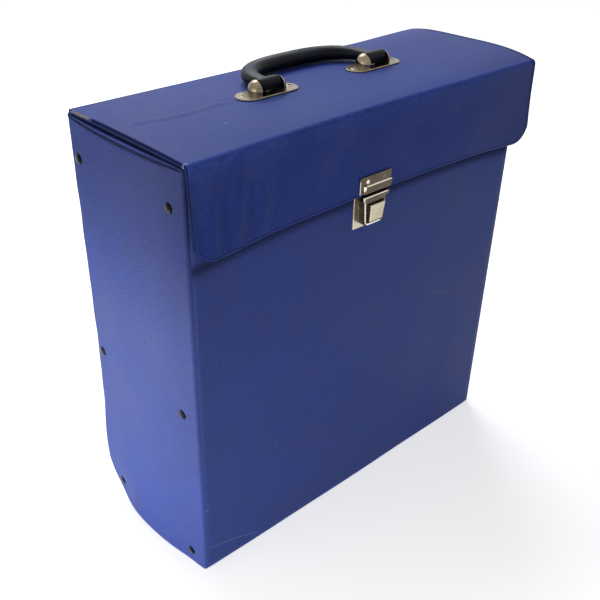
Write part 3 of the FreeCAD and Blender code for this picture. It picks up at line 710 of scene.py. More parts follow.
def hollow_ends(place):
    """Black insides of the hollow rivets of the handle's plates."""
    flat = vector("MULTIPLY", place, (1, 1, 0))
    gaps = [vector("DISTANCE", flat, (x, LID_MIDDLE, 0), "Value")
            for side in SIDES for x in bracket_rivet_middles(side)]
    return ramp(folded("MINIMUM", gaps), 1.9 * MM, 1.5 * MM), (0.006, 0.005, 0.004, 1.0)


def bracket_rivet_middles(side):
    low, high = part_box("bracket_rivets_" + side)
    return low.x + BRACKET_RIVET_HEAD, high.x - BRACKET_RIVET_HEAD


# Covers of the body

def lower_edge(y, radius):
    """Height of the body's underside at a depth: flat, then the round rear corner."""
    over = np.clip(y - (END_HIGH.y - radius), 0, radius)
    return radius - np.sqrt(np.maximum(radius ** 2 - over ** 2, 0))


def rivet_places():
    """(y, z) of the ends' rivets, from the centres of their heads in the imported solids."""
    points = points_of(NODES["end_rivets_left"].data).astype(float)
    shown = points[points[:, 0] < END_LOW.x - 0.9 * MM]
    places = []
    for point in shown:
        if all(math.hypot(y - point[1], z - point[2]) >= HEAD_REACH for y, z in places):
            head = shown[np.hypot(shown[:, 1] - point[1], shown[:, 2] - point[2]) < HEAD_REACH]
            places.append((head[:, 1].mean(), head[:, 2].mean()))
    return places


def across_end(y):
    """Place over the depth of an end, from -1 at the front to 1 at the back."""
    return (y - (END_LOW.y + END_HIGH.y) / 2) / ((END_HIGH.y - END_LOW.y) / 2)


def end_bulge(y, z, places):
    """How far the sprung end stands out of its plane. The rivets and edges hold it in."""
    across = across_end(y)
    amount = arch(across) ** 1.25 * (1 - smooth(z, 60 * MM, 300 * MM))
    for place_y, place_z in places:
        square = (y - place_y) ** 2 + (z - place_z) ** 2
        amount = amount * (1 - 0.5 * np.exp(-square / HOLD_REACH ** 2))
    flare = 2.6 * MM * smooth(y, 0, END_HIGH.y) * hump(z, 52 * MM, 42 * MM)
    uneven = 0.35 * MM * dents(y, z, 30 * MM, 1.3) * arch(across, 4)
    return settings("cover").end_bulge * amount + flare + uneven


# Upper edge of the end's covering, from its lowest turned layer to the top: the drop below the top and the
# step inwards in millimetres,
# and the light painted on the layer: a painted highlight (1) or painted shade (-1)

TURNED_EDGE = np.array([
    (9, 0, 0), (7, 0, 0), (5.4, 0, 0), (4.7, -0.2, 0.5), (4.3, -0.35, 1), (4.0, -0.3, 0.9), (3.8, 0.5, -1),
    (3.2, 0.6, -1), (3.0, 0.1, 0.5), (2.6, -0.1, 1), (2.2, -0.05, 0.8), (2.0, 0.75, -1), (1.5, 0.85, -1),
    (1.3, 0.4, 0.6), (0.9, 0.3, 0.9), (0.5, 0.35, 0.8), (0.0, 0.6, 0.3)])


def build_end_covers():
    sizes = settings("cover")
    edge, fold = BOARD / 2, sizes.fold_radius
    left, front, rear = END_LOW.x, END_LOW.y, END_HIGH.y - BOARD / 2
    turns = np.linspace(0, math.pi / 2, 9)
    wrap_x = np.concatenate([[END_HIGH.x, (END_HIGH.x + left + fold) / 2],
                             left + fold - fold * np.sin(turns)])
    wrap_y = np.concatenate([[front, front], front + fold - fold * np.cos(turns)])
    middle = np.linspace(0, 1, 72)[1:]
    bunched = 0.45 * middle + 0.55 * np.sin(middle * math.pi / 2)
    depth = (front + fold) + (rear - front - fold) * bunched
    x = np.concatenate([wrap_x, np.full(len(depth), left)])
    y = np.concatenate([wrap_y, depth])
    inner_y = np.concatenate([np.linspace(front + 0.9 * MM, front + fold, len(wrap_y)), depth])
    dip = arch(across_end(y))
    top = END_HIGH.z - 1.5 * MM * dip - 0.9 * MM * hump(y, front, 4 * MM)
    foot = lower_edge(np.minimum(y, rear), sizes.rear_corner) + edge * 0.9
    drop, ledge, line = TURNED_EDGE.T
    share = np.linspace(0, 1, 92)[:-1]
    squeeze = 0.3 + 0.7 * dip
    z = np.concatenate([foot[None] + share[:, None] * (top - 10 * MM * squeeze - foot)[None],
                        top[None] - drop[:, None] * MM * squeeze[None]])
    step_in = np.concatenate([0 * share, ledge * MM])[:, None]
    # Light and dark lines of the turned layers: painted highlights and painted shade.
    painted_shading = np.concatenate([0 * share, line])[:, None] + 0 * z
    ys = np.broadcast_to(y, z.shape)
    bulge = end_bulge(ys, z, rivet_places())
    rear_wave = (0.9 * MM * dents(z, z, 24 * MM, 0.6) * smooth(z, 60 * MM, 120 * MM)
                 + 1.6 * MM * hump(z, 58 * MM, 34 * MM)) * smooth(ys, 40 * MM, rear)
    wrapped = smooth(ys, front + fold * 0.3, front + fold * 2.5)
    outer = grid(x - bulge * wrapped - step_in * wrapped, ys + rear_wave, z)
    inner = grid(END_HIGH.x - bulge * 0.96 * wrapped, inner_y + rear_wave, z)
    wear = 0.12 * hump(ys, front + fold * 0.6, 1.6 * MM) + 0.15 * hump(ys, rear, 1.5 * MM)
    # The painted highlights of the light layers go with the wear, the painted shade of the dark layers with
    # the seams.
    wear = np.maximum(wear, 0.9 * np.clip(painted_shading, 0, 1))
    # Painted shade: the ends darker towards their tops and along their front edges.
    painted_end_shade = (0.42 * smooth(z, 190 * MM, 320 * MM)
               + 0.16 * hump(ys, front, 30 * MM) * smooth(z, 60 * MM, 140 * MM))
    seam = 1.2 * np.clip(-painted_shading, 0, 1) + painted_end_shade
    piece = sheet_piece("end_cover_left", outer, inner, (0.9, 0.5, 0.0, 1.0),
                        {"wear": (wear, 0.15), "seam": (seam, 0)}, np.stack([ys, z], -1))
    paint(piece, vinyl("end_vinyl", gloss=0.42, relief=1.0))
    other = mirrored_copy(piece, "end_cover_right")
    for obj, side in ((piece, "left"), (other, "right")):
        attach(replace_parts(obj, "end_panel_" + side), "case")


def build_front_cover():
    edge = BOARD / 2
    # Finer rows in the band of painted shadow below the flap's foot.
    curb, shadow_band_low, shadow_band_high = 20 * MM, 264 * MM, 284 * MM
    rows = [np.linspace(low, high, count)[:-1] for low, high, count in (
        (FRONT_LOW.z + edge * 0.9, curb, 8), (curb, shadow_band_low, 62), (shadow_band_low, shadow_band_high, 26))]
    rows.append(np.linspace(shadow_band_high, FRONT_HIGH.z - edge * 0.9, 15))
    x, z = np.meshgrid(np.linspace(FRONT_LOW.x, FRONT_HIGH.x, 90), np.concatenate(rows))
    across = x / FRONT_HIGH.x
    lock = hump(x, LOCK_MIDDLE, 26 * MM) * hump(z, 268 * MM, 26 * MM)
    bow = arch(across, 6) * (0.45 * MM * dents(x, z, 55 * MM, 2.2)) * (1 - lock)
    bow = bow + 0.9 * MM * arch(across) * (1 - smooth(z, curb, 180 * MM))
    wear = 0.45 * hump(z, FRONT_LOW.z + edge, 2.2 * MM)
    # Painted shadow under the flap: a dark band on the front just below its foot, left out at the lock.
    hidden = 0.6 * (FRONT_LOW.y - FLAP_LOW.y + flap_flare(x)) + 0.6 * MM
    painted_flap_shadow = 0.75 * hump(z, flap_foot(x) - hidden, 4.8 * MM) * (1 - hump(x, LOCK_MIDDLE, 12 * MM))
    piece = sheet_piece("front_cover", grid(x, FRONT_LOW.y - bow, z), grid(x, FRONT_HIGH.y, z),
                        (0.9, 0.9, 0.0, 0.0), {"wear": (wear, 0.3), "seam": (painted_flap_shadow, 0)},
                        np.stack([x, z], -1))
    scuffs = (((-0.1648, 0.0222), (-0.112, 0.0055), -0.0016, 0.0007, 0.15),
              ((-0.1655, 0.0636), (-0.161, 0.0612), 0.0, 0.0006, 0.22),
              ((0.082, 0.1610), (0.109, 0.1500), 0.0006, 0.0005, 0.10))
    # Painted light: the front's vinyl is a warmer tint of the vinyl, for the warm light that falls on the
    # front.
    paint(piece, vinyl("front_vinyl", scuffs, gloss=0.26, light_tint=(1.03, 1.0, 0.93)))
    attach(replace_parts(piece, "front_board"), "case")


def build_back_cover():
    radius = settings("cover").rear_corner
    turns = np.linspace(0, math.pi / 2, 26)
    centre_y, centre_z = BACK_HIGH.y - radius, BACK_LOW.z + radius
    start = np.linspace(BACK_LOW.y + 0.2 * MM, centre_y, 40)[:-1]
    rise = np.linspace(centre_z, BACK_HIGH.z - BOARD / 2 * 0.9, 96)[1:]
    y = np.concatenate([start, centre_y + radius * np.sin(turns), 0 * rise + BACK_HIGH.y])[:, None]
    z = np.concatenate([0 * start + BACK_LOW.z, centre_z - radius * np.cos(turns), rise])[:, None]
    out_y = np.concatenate([0 * start, np.sin(turns), 0 * rise + 1])[:, None]
    out_z = np.concatenate([0 * start - 1, -np.cos(turns), 0 * rise])[:, None]
    xs = np.linspace(BACK_LOW.x, BACK_HIGH.x, 90)[None]
    across = arch(xs / BACK_HIGH.x, 4)
    raised = (z > radius) * (1 - smooth(z, 290 * MM, 303 * MM))
    swell = raised * across * (0.5 * MM * dents(xs + 0 * z, z + 0 * xs, 60 * MM, 0.4)
                               + 0.8 * MM * np.sin(np.clip((z - radius) / (250 * MM), 0, 1) * math.pi))
    outer = grid(xs, y + swell * out_y, z + swell * out_z)
    inner = grid(xs, y - BOARD * out_y + 0 * swell, z - BOARD * out_z)
    run = np.concatenate([[0], np.cumsum(np.hypot(np.diff(y[:, 0]), np.diff(z[:, 0])))])[:, None]
    ground = 0.7 * hump(run, 150 * MM, 16 * MM) * (1 - across * 0.6)
    piece = sheet_piece("back_cover", outer, inner, (0.0, 0.9, 0.0, 0.0), {"wear": (ground, 0.3)},
                        np.stack(np.broadcast_arrays(xs, run), -1))
    scuffs = (((-0.09, 0.24), (-0.05, 0.275), 0.002, 0.0007, 0.25),
              ((0.07, 0.36), (0.10, 0.352), -0.001, 0.0006, 0.2))
    paint(piece, vinyl("back_vinyl", scuffs))
    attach(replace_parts(piece, "back_board"), "case")


# Lid, flap and hinge

def across_lid(y):
    """Place over the depth of the lid, from -1 at the front to 1 at the back."""
    return np.clip((y - LID_MIDDLE) / ((LID_HIGH.y - LID_LOW.y) / 2), -1, 1)


def lid_shape(x, y, crown):
    """Height of the lid's top over its edges: a crown that grows to the right, and soft creases."""
    across = across_lid(y)
    rise = crown + 1.5 * MM * smooth(x, 95 * MM, LID_HIGH.x) - 1.6 * MM * smooth(-x, 85 * MM, -LID_LOW.x)
    height = rise * (1 - np.abs(across) ** (2 + 1.8 * smooth(x, 20 * MM, 165 * MM)))
    held = arch(across, 4)
    bases = sum(hump(x, LID_CENTRE + reach, 26 * MM) for reach in (-BRACKET_REACH, BRACKET_REACH))
    plates = 1 - np.clip(bases, 0, 1) * hump(y, LID_MIDDLE, 14 * MM)
    height = height + 0.3 * MM * dents(x, y, 42 * MM, 0.9) * held * plates
    ridge = ((-160, 6.0), (-152, 7.6), (-141, 4.0), (-120, 0.0), (-103, -1.0), (-90, 0.5), (-74, -4.0))
    knots = np.array(ridge) * MM
    along = np.interp(x, knots[:, 0], knots[:, 1])
    span = smooth(x, -163 * MM, -150 * MM) * (1 - smooth(x, -84 * MM, -72 * MM))
    gap = (y - along) / (2.6 * MM)
    height = height + 0.42 * MM * span * np.exp(-gap ** 2) - 0.3 * MM * span * np.exp(-(gap + 1.9) ** 2)
    sweep = np.interp(x, np.array([-86, -73, -60]) * MM, np.array([12, 0, -22]) * MM)
    tail = smooth(x, -88 * MM, -80 * MM) * (1 - smooth(x, -70 * MM, -60 * MM)) * held
    return height + 0.25 * MM * tail * np.exp(-((y - sweep) / (3.4 * MM)) ** 2)


def flap_border(x, z, radius):
    """Distance from a point of the flap to its nearest free edge."""
    side = np.minimum(x - FLAP_LOW.x, FLAP_HIGH.x - x)
    low = z - flap_foot(x)
    rounded = radius - np.hypot(radius - side, radius - low)
    return np.where((side < radius) & (low < radius), rounded, np.minimum(side, low))


def flap_foot(x):
    """Height of the flap's lower edge before its corners are rounded: it bows up in the middle."""
    share = (x - (FLAP_LOW.x + FLAP_HIGH.x) / 2) / ((FLAP_HIGH.x - FLAP_LOW.x) / 2)
    return FLAP_LOW.z - 1.1 * MM + 5 * MM * (1 - share ** 2)


def flap_flare(x):
    """How far the flap's foot stands away from the body: most at its ends."""
    share = smooth(-x, 96 * MM, -LID_LOW.x) + 0.75 * smooth(x, 120 * MM, LID_HIGH.x)
    return settings("cover").flap_flare * share


def flap_stand_off(x, z):
    """How far the flap's faces are pushed out of their plane by its flare and ripples."""
    fall = np.clip((FLAP_HIGH.z - z) / (FLAP_HIGH.z - FLAP_LOW.z), 0, 1)
    torn = smooth(-x, 80 * MM, 120 * MM) * (1 - smooth(-x, 158 * MM, 168 * MM))
    ripple = (1.3 * MM * np.sin(x / (3.4 * MM) + 1.6 + 1.5 * fall) * torn
              + 0.3 * MM * dents(x, z, 34 * MM, 4.2)) * np.sin(fall * math.pi * 0.93)
    return flap_flare(x) * fall ** 1.4 + ripple * (1 - hump(x, LOCK_MIDDLE, 24 * MM))


def lid_hem(x):
    """Share of the crown that the lid's underside follows: less over the thick hem at the left end."""
    return 1 - 0.8 * smooth(-x, -LID_LOW.x - 14 * MM, -LID_LOW.x - 4 * MM)


def lid_warp(x, y, fall=0.0):
    """Lift of the lid's right end, and the bow of its front fold, which fade down the flap."""
    share = (x - LID_CENTRE) / ((LID_HIGH.x - LID_LOW.x) / 2)
    bow = 2.3 * MM * arch(share) * smooth(-y, 14 * MM, -LID_LOW.y)
    return 1.5 * MM * smooth(x, 80 * MM, LID_HIGH.x) * (1 - fall) + bow * np.clip(1 - 1.6 * fall, 0, 1)


def build_lid_cover():
    sizes = settings("cover")
    edge, corner = BOARD / 2 * 0.8, sizes.flap_corner
    left, right = LID_LOW.x + edge, LID_HIGH.x - edge
    share = np.linspace(0, 1, 172)
    xs = left + (right - left) * (share - 0.93 * np.sin(2 * math.pi * share) / (2 * math.pi))
    lid_y = np.linspace(LID_HIGH.y - edge, LID_LOW.y, 74)
    radius = LID_LOW.y - FLAP_LOW.y
    turns = np.linspace(0, math.pi / 2, 10)[1:]
    from_end = np.minimum(np.minimum(xs - LID_LOW.x, LID_HIGH.x - xs), corner)
    lift = corner - np.sqrt(np.maximum(corner ** 2 - (corner - from_end) ** 2, 0))
    foot = flap_foot(xs) + lift + edge
    top, edge_top = FLAP_HIGH.z, LID_LOW.z + BOARD
    down = np.sin(np.linspace(0, 1, 46)[1:] * math.pi / 2) ** 0.8
    outer, inner, lengths = [], [], []
    for y, row in zip(lid_y, lid_shape(*np.meshgrid(xs, lid_y), sizes.crown)):
        outer.append(grid(xs, y, edge_top + row))
        inner.append(grid(xs, y, edge_top + row * lid_hem(xs) - BOARD))
        lengths.append(LID_HIGH.y - y)
    start = LID_HIGH.y - LID_LOW.y
    for turn in turns:
        for rows, reach in ((outer, radius), (inner, radius - BOARD)):
            rows.append(grid(xs, LID_LOW.y - reach * math.sin(turn), top + reach * math.cos(turn)))
        lengths.append(start + radius * turn)
    start += radius * math.pi / 2
    for portion in down:
        z = top + (foot - top) * portion
        outer.append(grid(xs, FLAP_LOW.y, z))
        inner.append(grid(xs, FLAP_HIGH.y, z))
        lengths.append(start + (top - foot.min()) * portion)
    outer, inner = np.array(outer), np.array(inner)
    x, z = outer[..., 0], outer[..., 2]
    fall = np.zeros(x.shape)
    first = len(lid_y) + len(turns)
    fall[first:] = np.clip((top - z[first:]) / (top - FLAP_LOW.z), 0, 1)
    moved = flap_stand_off(x, z)
    warp = lid_warp(x, outer[..., 1], fall)
    outer[..., 2] += warp
    inner[..., 2] += warp
    border = np.where(fall > 0, flap_border(x, z, corner), 1.0)
    hem = np.where(fall > 0, 0.16 * MM * (1 - smooth(border, 1.4 * MM, 2.2 * MM))
                   - 0.10 * MM * hump(border, 2.6 * MM, 0.5 * MM), 0)
    outer[..., 1] -= moved + hem
    inner[..., 1] -= moved
    rows = np.arange(x.shape[0])[:, None] - (len(lid_y) + len(turns) // 2)
    # Lighter band along the lid's front fold: scuffed vinyl and a painted highlight, strongest towards the
    # left end.
    scuffed = 0.72 + 0.28 * smooth(-x, 60 * MM, 165 * MM) + 0.2 * dents(x, x, 13 * MM, 2.0)
    wear = 0.95 * hump(rows, 0, 4.5) * np.clip(scuffed, 0, 1)
    wear = wear + 0.5 * hump(x, LID_LOW.x, 3.5 * MM) * hump(rows, 0, 6.0)
    wear = np.clip(wear + 0.3 * hump(border, 0.9 * MM, 0.5 * MM), 0, 1.2)
    seam = 0.2 * hump(border, 2.3 * MM, 0.6 * MM)
    # A darker line along the right end of the lid, fainter down the flap.
    seam = np.maximum(seam, hump(x, right + 0.3 * MM, 2.8 * MM) * np.where(fall > 0, 0.5, 0.95))
    y = outer[..., 1]
    bare = smooth(y, 33 * MM, 37 * MM) * (1 - smooth(y, 58 * MM, 61 * MM)) * (x < left + 0.2 * MM)
    raw_rim = np.array([0.9, 0.6, 0.0, 0.0, 0.0])[:, None] * bare.reshape(-1)[None]
    # Painted shade on the rounded rims of the lid's two ends, except where the bare board shows.
    painted_shading = np.array([0.75, 1.0, 0.55, 1.0, 1.0])[:, None]
    ends = (x < left + 20 * MM) | ((x > right - 20 * MM) & (fall == 0))
    painted_rim_shade = np.where(raw_rim > 0, 0, painted_shading * ends.reshape(-1)[None])
    piece = sheet_piece("lid_and_flap_cover", outer, inner, (0.8, 0.8, 0.8, 0.8),
                        {"wear": (wear, 0.1), "seam": (seam, painted_rim_shade), "raw": (bare * 0, raw_rim)},
                        np.stack(np.broadcast_arrays(x, np.array(lengths)[:, None]), -1))
    rear = LID_HIGH.y
    specks = (((-0.1489, rear + 0.0210), 0.0007, 0.2), ((-0.1530, rear + 0.0268), 0.0006, 0.2),
              ((-0.1094, rear + 0.0327), 0.0008, 0.7))
    scuffs = (((-0.1685, rear + 0.0660), (-0.1645, rear + 0.0668), 0.0, 0.0009, 0.75),)
    # The lid's vinyl has greyish clouds of dust and a painted sheen towards its right end.
    paint(piece, vinyl("lid_vinyl", scuffs, specks, 0.14, 0.16))
    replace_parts(piece, "lid_board", "crease_strip", "flap_board")
    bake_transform(piece)


def build_hinge_cover():
    thin = HINGE_HIGH.y - BACK_HIGH.y
    back, lid = BACK_HIGH.y + thin, LID_HIGH.y + thin
    step_low, step_high = 336.6 * MM, 339.0 * MM
    zs = np.concatenate([np.linspace(HINGE_LOW.z, step_low - 0.2 * MM, 26),
                         np.linspace(step_low + 0.3 * MM, HINGE_HIGH.z, 14)])
    x, z = np.meshgrid(np.linspace(HINGE_LOW.x, HINGE_HIGH.x, 110), zs)
    y = back + (lid - back) * smooth(z, step_low, step_high)
    rise = np.clip((z - HINGE_LOW.z) / (31 * MM), 0, 1)
    pucker = 0.25 * MM * dents(x, z, 12 * MM, 1.9) * np.sin(rise * math.pi)
    wear = 0.5 * hump(z, step_low + 0.8 * MM, 1.4 * MM) + 0.25 * hump(z, HINGE_LOW.z, 1.0 * MM)
    seam = 0.5 * hump(z, HINGE_LOW.z + 2.4 * MM, 0.5 * MM)
    piece = sheet_piece("hinge_cover", grid(x, y + pucker * 0.8, z), grid(x, y - thin, z),
                        (0.8, 0.8, 0.8, 0.8), {"wear": (wear, 0.3), "seam": (seam, 0)},
                        np.stack([x, z], -1), steps=3)
    paint(piece, vinyl("case_vinyl"))
    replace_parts(piece, "hinge_strip")
    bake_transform(piece)


# Rivets, made by one Geometry Nodes tree

RIVET_INPUTS = {
    "Geometry": ("Geometry", None), "Head Radius": ("Float", 4 * MM), "Head Height": ("Float", 1.3 * MM),
    "Shank Radius": ("Float", 1.6 * MM), "Shank Length": ("Float", 4 * MM),
    "Tail Radius": ("Float", 2.6 * MM), "Hollow Radius": ("Float", 0.0), "Hollow Depth": ("Float", 0.0),
    "Axis": ("Vector", (0, 0, 1)), "Sides": ("Int", 28), "Metal": ("Material", None),
}


def stored(geometry, name, value):
    return node(geometry.tree, "GeometryNodeStoreNamedAttribute",
                {"Geometry": geometry, "Name": name, "Value": value}, data_type="FLOAT", domain="POINT")[0]


def read_back(tree, name):
    return node(tree, "GeometryNodeInputNamedAttribute", {"Name": name}, data_type="FLOAT")["Attribute"]


def moved_by(geometry, **given):
    return node(geometry.tree, "GeometryNodeTransform", {"Geometry": geometry, **given})[0]


def rivet_tree():
    """Domed head, shank and set tail on every point of a mesh, turned to one axis.

    The points' own rise lifts the head and the top of the shank along the axis.
    """
    name = "Domed Rivets"
    if name in bpy.data.node_groups:
        return bpy.data.node_groups[name]
    tree = bpy.data.node_groups.new(name, "GeometryNodeTree")
    for label, (kind, value) in RIVET_INPUTS.items():
        socket = tree.interface.new_socket(label, in_out="INPUT", socket_type="NodeSocket" + kind)
        if value is not None:
            socket.default_value = value
    tree.interface.new_socket("Geometry", in_out="OUTPUT", socket_type="NodeSocketGeometry")
    given = node(tree, "NodeGroupInput")
    radius, long, tail_radius = given["Head Radius"], given["Shank Length"], given["Tail Radius"]
    parts = node(tree, "ShaderNodeSeparateXYZ", {0: node(tree, "GeometryNodeInputPosition")[0]})
    x, y, z = parts["X"], parts["Y"], parts["Z"]
    above = z.maths("GREATER_THAN", 0.0)
    out = (x * x + y * y).maths("SQRT") * radius / given["Hollow Radius"].maths("MAXIMUM", 1e-6)
    cup = (out * -1.0).maths("ADD", 1.0, clamp=True) * given["Hollow Depth"]
    height = z.maths("MAXIMUM", -0.1) * given["Head Height"] - cup * above
    ball = node(tree, "GeometryNodeMeshUVSphere", {"Segments": given["Sides"], "Rings": 20, "Radius": 1.0})
    head = node(tree, "GeometryNodeSetPosition", {
        "Geometry": ball[0], "Position": joined(tree, X=x * radius, Y=y * radius, Z=height)})
    head = stored(node(tree, "GeometryNodeSetShadeSmooth", {0: head[0]})[0], "lifted", 1.0)
    shank = node(tree, "GeometryNodeMeshCylinder", {
        "Vertices": given["Sides"], "Radius": given["Shank Radius"], "Depth": long})
    shank = moved_by(stored(shank[0], "lifted", above), Translation=joined(tree, Z=long * -0.5))
    tail = node(tree, "GeometryNodeMeshCone", {
        "Vertices": given["Sides"], "Radius Top": tail_radius * 0.55, "Radius Bottom": tail_radius,
        "Depth": tail_radius * 0.24})
    over = node(tree, "FunctionNodeAxisAngleToRotation", {"Axis": (1, 0, 0), "Angle": math.pi})
    tail = moved_by(tail[0], Rotation=over[0], Translation=joined(tree, Z=long * -1.0))
    whole = tree.nodes.new("GeometryNodeJoinGeometry")
    for piece in (tail, shank, head):
        feed(whole.inputs, {0: piece})
    aim = node(tree, "FunctionNodeAlignRotationToVector", {"Vector": given["Axis"]}, axis="Z")
    copies = node(tree, "GeometryNodeInstanceOnPoints", {
        "Points": given["Geometry"], "Instance": Outputs(whole)[0], "Rotation": aim[0]})
    real = node(tree, "GeometryNodeRealizeInstances", {0: copies[0]})
    amount = read_back(tree, "rise") * read_back(tree, "lifted")
    offset = node(tree, "ShaderNodeVectorMath", {0: given["Axis"], "Scale": amount}, operation="SCALE")
    real = node(tree, "GeometryNodeSetPosition", {"Geometry": real[0], "Offset": offset[0]})
    final = node(tree, "GeometryNodeSetMaterial", {"Geometry": real[0], "Material": given["Metal"]})
    feed(tree.nodes.new("NodeGroupOutput").inputs, {0: final[0]})
    return tree


def rivets(name, places, values, body, replaced, rises=None):
    """One mesh of rivets at the given places, with their heads lifted by the given rises."""
    points = bpy.data.meshes.new(name)
    points.from_pydata([tuple(p) for p in places], [], [])
    if rises is not None:
        points.attributes.new("rise", "FLOAT", "POINT").data.foreach_set("value", rises)
    obj = link_object(name, points)
    tree = rivet_tree()
    modifier = obj.modifiers.new("rivets", "NODES")
    modifier.node_group = tree
    sockets = {item.name: item.identifier for item in tree.interface.items_tree
               if item.item_type == "SOCKET" and item.in_out == "INPUT"}
    for label, value in {**values, "Sides": settings("hardware").rivet_sides}.items():
        modifier[sockets[label]] = value
    applied(obj)
    for spent in ("rise", "lifted"):
        if spent in obj.data.attributes:
            obj.data.attributes.remove(obj.data.attributes[spent])
    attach(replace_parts(obj, replaced), body)


def build_end_rivets():
    sizes = settings("hardware")
    _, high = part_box("end_rivets_left")
    values = {"Head Radius": sizes.rivet_radius, "Head Height": sizes.rivet_height, "Shank Radius": 1.6 * MM,
              "Shank Length": high.x - END_LOW.x - 0.6 * MM, "Tail Radius": 2.6 * MM,
              "Metal": metal("dark_bronze")}
    plan = np.array(rivet_places())
    rises = np.maximum(end_bulge(plan[:, 0], plan[:, 1], rivet_places()) - 0.15 * MM, 0)
    for side, sign in zip(SIDES, (-1, 1)):
        rivets("rivets_of_end_" + side, [(sign * -END_LOW.x, y, z) for y, z in plan],
               {**values, "Axis": (sign, 0, 0)}, "case", "end_rivets_" + side, rises)


def build_small_rivets():
    for side in SIDES:
        low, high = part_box("bracket_rivets_" + side)
        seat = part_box("handle_bracket_" + side)[0].z + 1.2 * MM
        rivets("rivets_of_bracket_" + side, [(x, LID_MIDDLE, seat) for x in bracket_rivet_middles(side)],
               {"Head Radius": BRACKET_RIVET_HEAD, "Head Height": 0.8 * MM, "Shank Radius": 1.4 * MM,
                "Shank Length": seat - low.z - 0.5 * MM, "Tail Radius": 2.2 * MM, "Hollow Radius": 1.8 * MM,
                "Hollow Depth": 1.5 * MM, "Axis": (0, 0, 1), "Metal": metal("hollow_rivet", hollow_ends)},
               "lid", "bracket_rivets_" + side)
    low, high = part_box("flap_rivets")
    head, height = 1.7 * MM, (low.z + high.z) / 2
    rivets("rivets_of_flap_plate", [(x, low.y + 0.6 * MM, height) for x in (low.x + head, high.x - head)],
           {"Head Radius": head, "Head Height": 0.6 * MM, "Shank Radius": 1.1 * MM,
            "Shank Length": high.y - low.y - 0.8 * MM, "Tail Radius": 1.6 * MM, "Axis": (0, -1, 0),
            "Metal": metal("clasp_rivet", browned_right)},
           "flap", "flap_rivets")


# Lock, brackets and grip

def build_lock():
    width = settings("hardware").metal_edge
    (low_x, _, low_z), (high_x, _, high_z) = (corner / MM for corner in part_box("lock_case"))
    (left, _, foot), (right, _, top) = (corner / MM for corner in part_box("flap_plate"))
    # Painted highlights along the rims of the housing and the clasp plate.
    housing = metal("browned_housing", painted_highlights_along((
        ((low_x + 4.3, low_z + 3), (low_x + 2.9, high_z - 4.2), 0.8),
        ((low_x + 4.3, low_z + 3), (low_x + 6.8, low_z + 0.8), 0.8),
        ((low_x + 6.2, low_z + 0.8), (high_x - 6.2, low_z + 0.8), 0.8),
        ((low_x + 0.4, high_z - 0.9), (high_x - 0.4, high_z - 0.9), 0.4),
        ((low_x + 0.9, high_z - 3.0), (low_x + 0.9, high_z - 0.4), 1.1))))
    clasp = metal("browned_clasp", painted_highlights_along((
        ((left + 0.3, foot), (left + 0.3, top - 2), 0.45),
        ((left + 5, foot + 5.9), (right, foot + 5.9), 0.5),
        ((left + 4.7, foot), (left + 4.7, foot + 6), 0.35))))
    thumb = metal("ridged_nickel", darker_grooves)
    for name, source, body, share, main_metal, side_metal in (
            ("lock_plate", "lock_base_plate", "case", 1.6, metal("clean_nickel"), None),
            ("lock_housing", "lock_case", "case", 2.0, housing, metal("greased_nickel")),
            ("thumb_piece", "lock_thumb_slide", "thumb_slide", 0.6, thumb, metal("nickel_plate")),
            ("clasp_plate", "flap_plate", "flap", 1.6, clasp, None)):
        obj = softened_metal(name, source, width * share, main_metal, metal("rubbed_edge"), side_metal)
        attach(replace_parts(obj, source), body)


def build_brackets():
    width = settings("hardware").metal_edge * 1.6
    for side in SIDES:
        source = "handle_bracket_" + side
        obj = softened_metal("handle_plate_" + side, source, width, metal("yellowed_nickel"),
                             metal("nickel_plate"))
        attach(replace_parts(obj, source), "lid")


def powered(value, power):
    """Value to a power with its sign kept."""
    return math.copysign(abs(value) ** power, value)


def skin(shape, rings):
    """Closed tube through rings of points."""
    made = [[shape.verts.new(point) for point in ring] for ring in rings]
    for low, high in zip(made[:-1], made[1:]):
        for k in range(len(low)):
            n = (k + 1) % len(low)
            shape.faces.new([low[k], low[n], high[n], high[k]])
    shape.faces.new(made[0][::-1])
    shape.faces.new(made[-1])


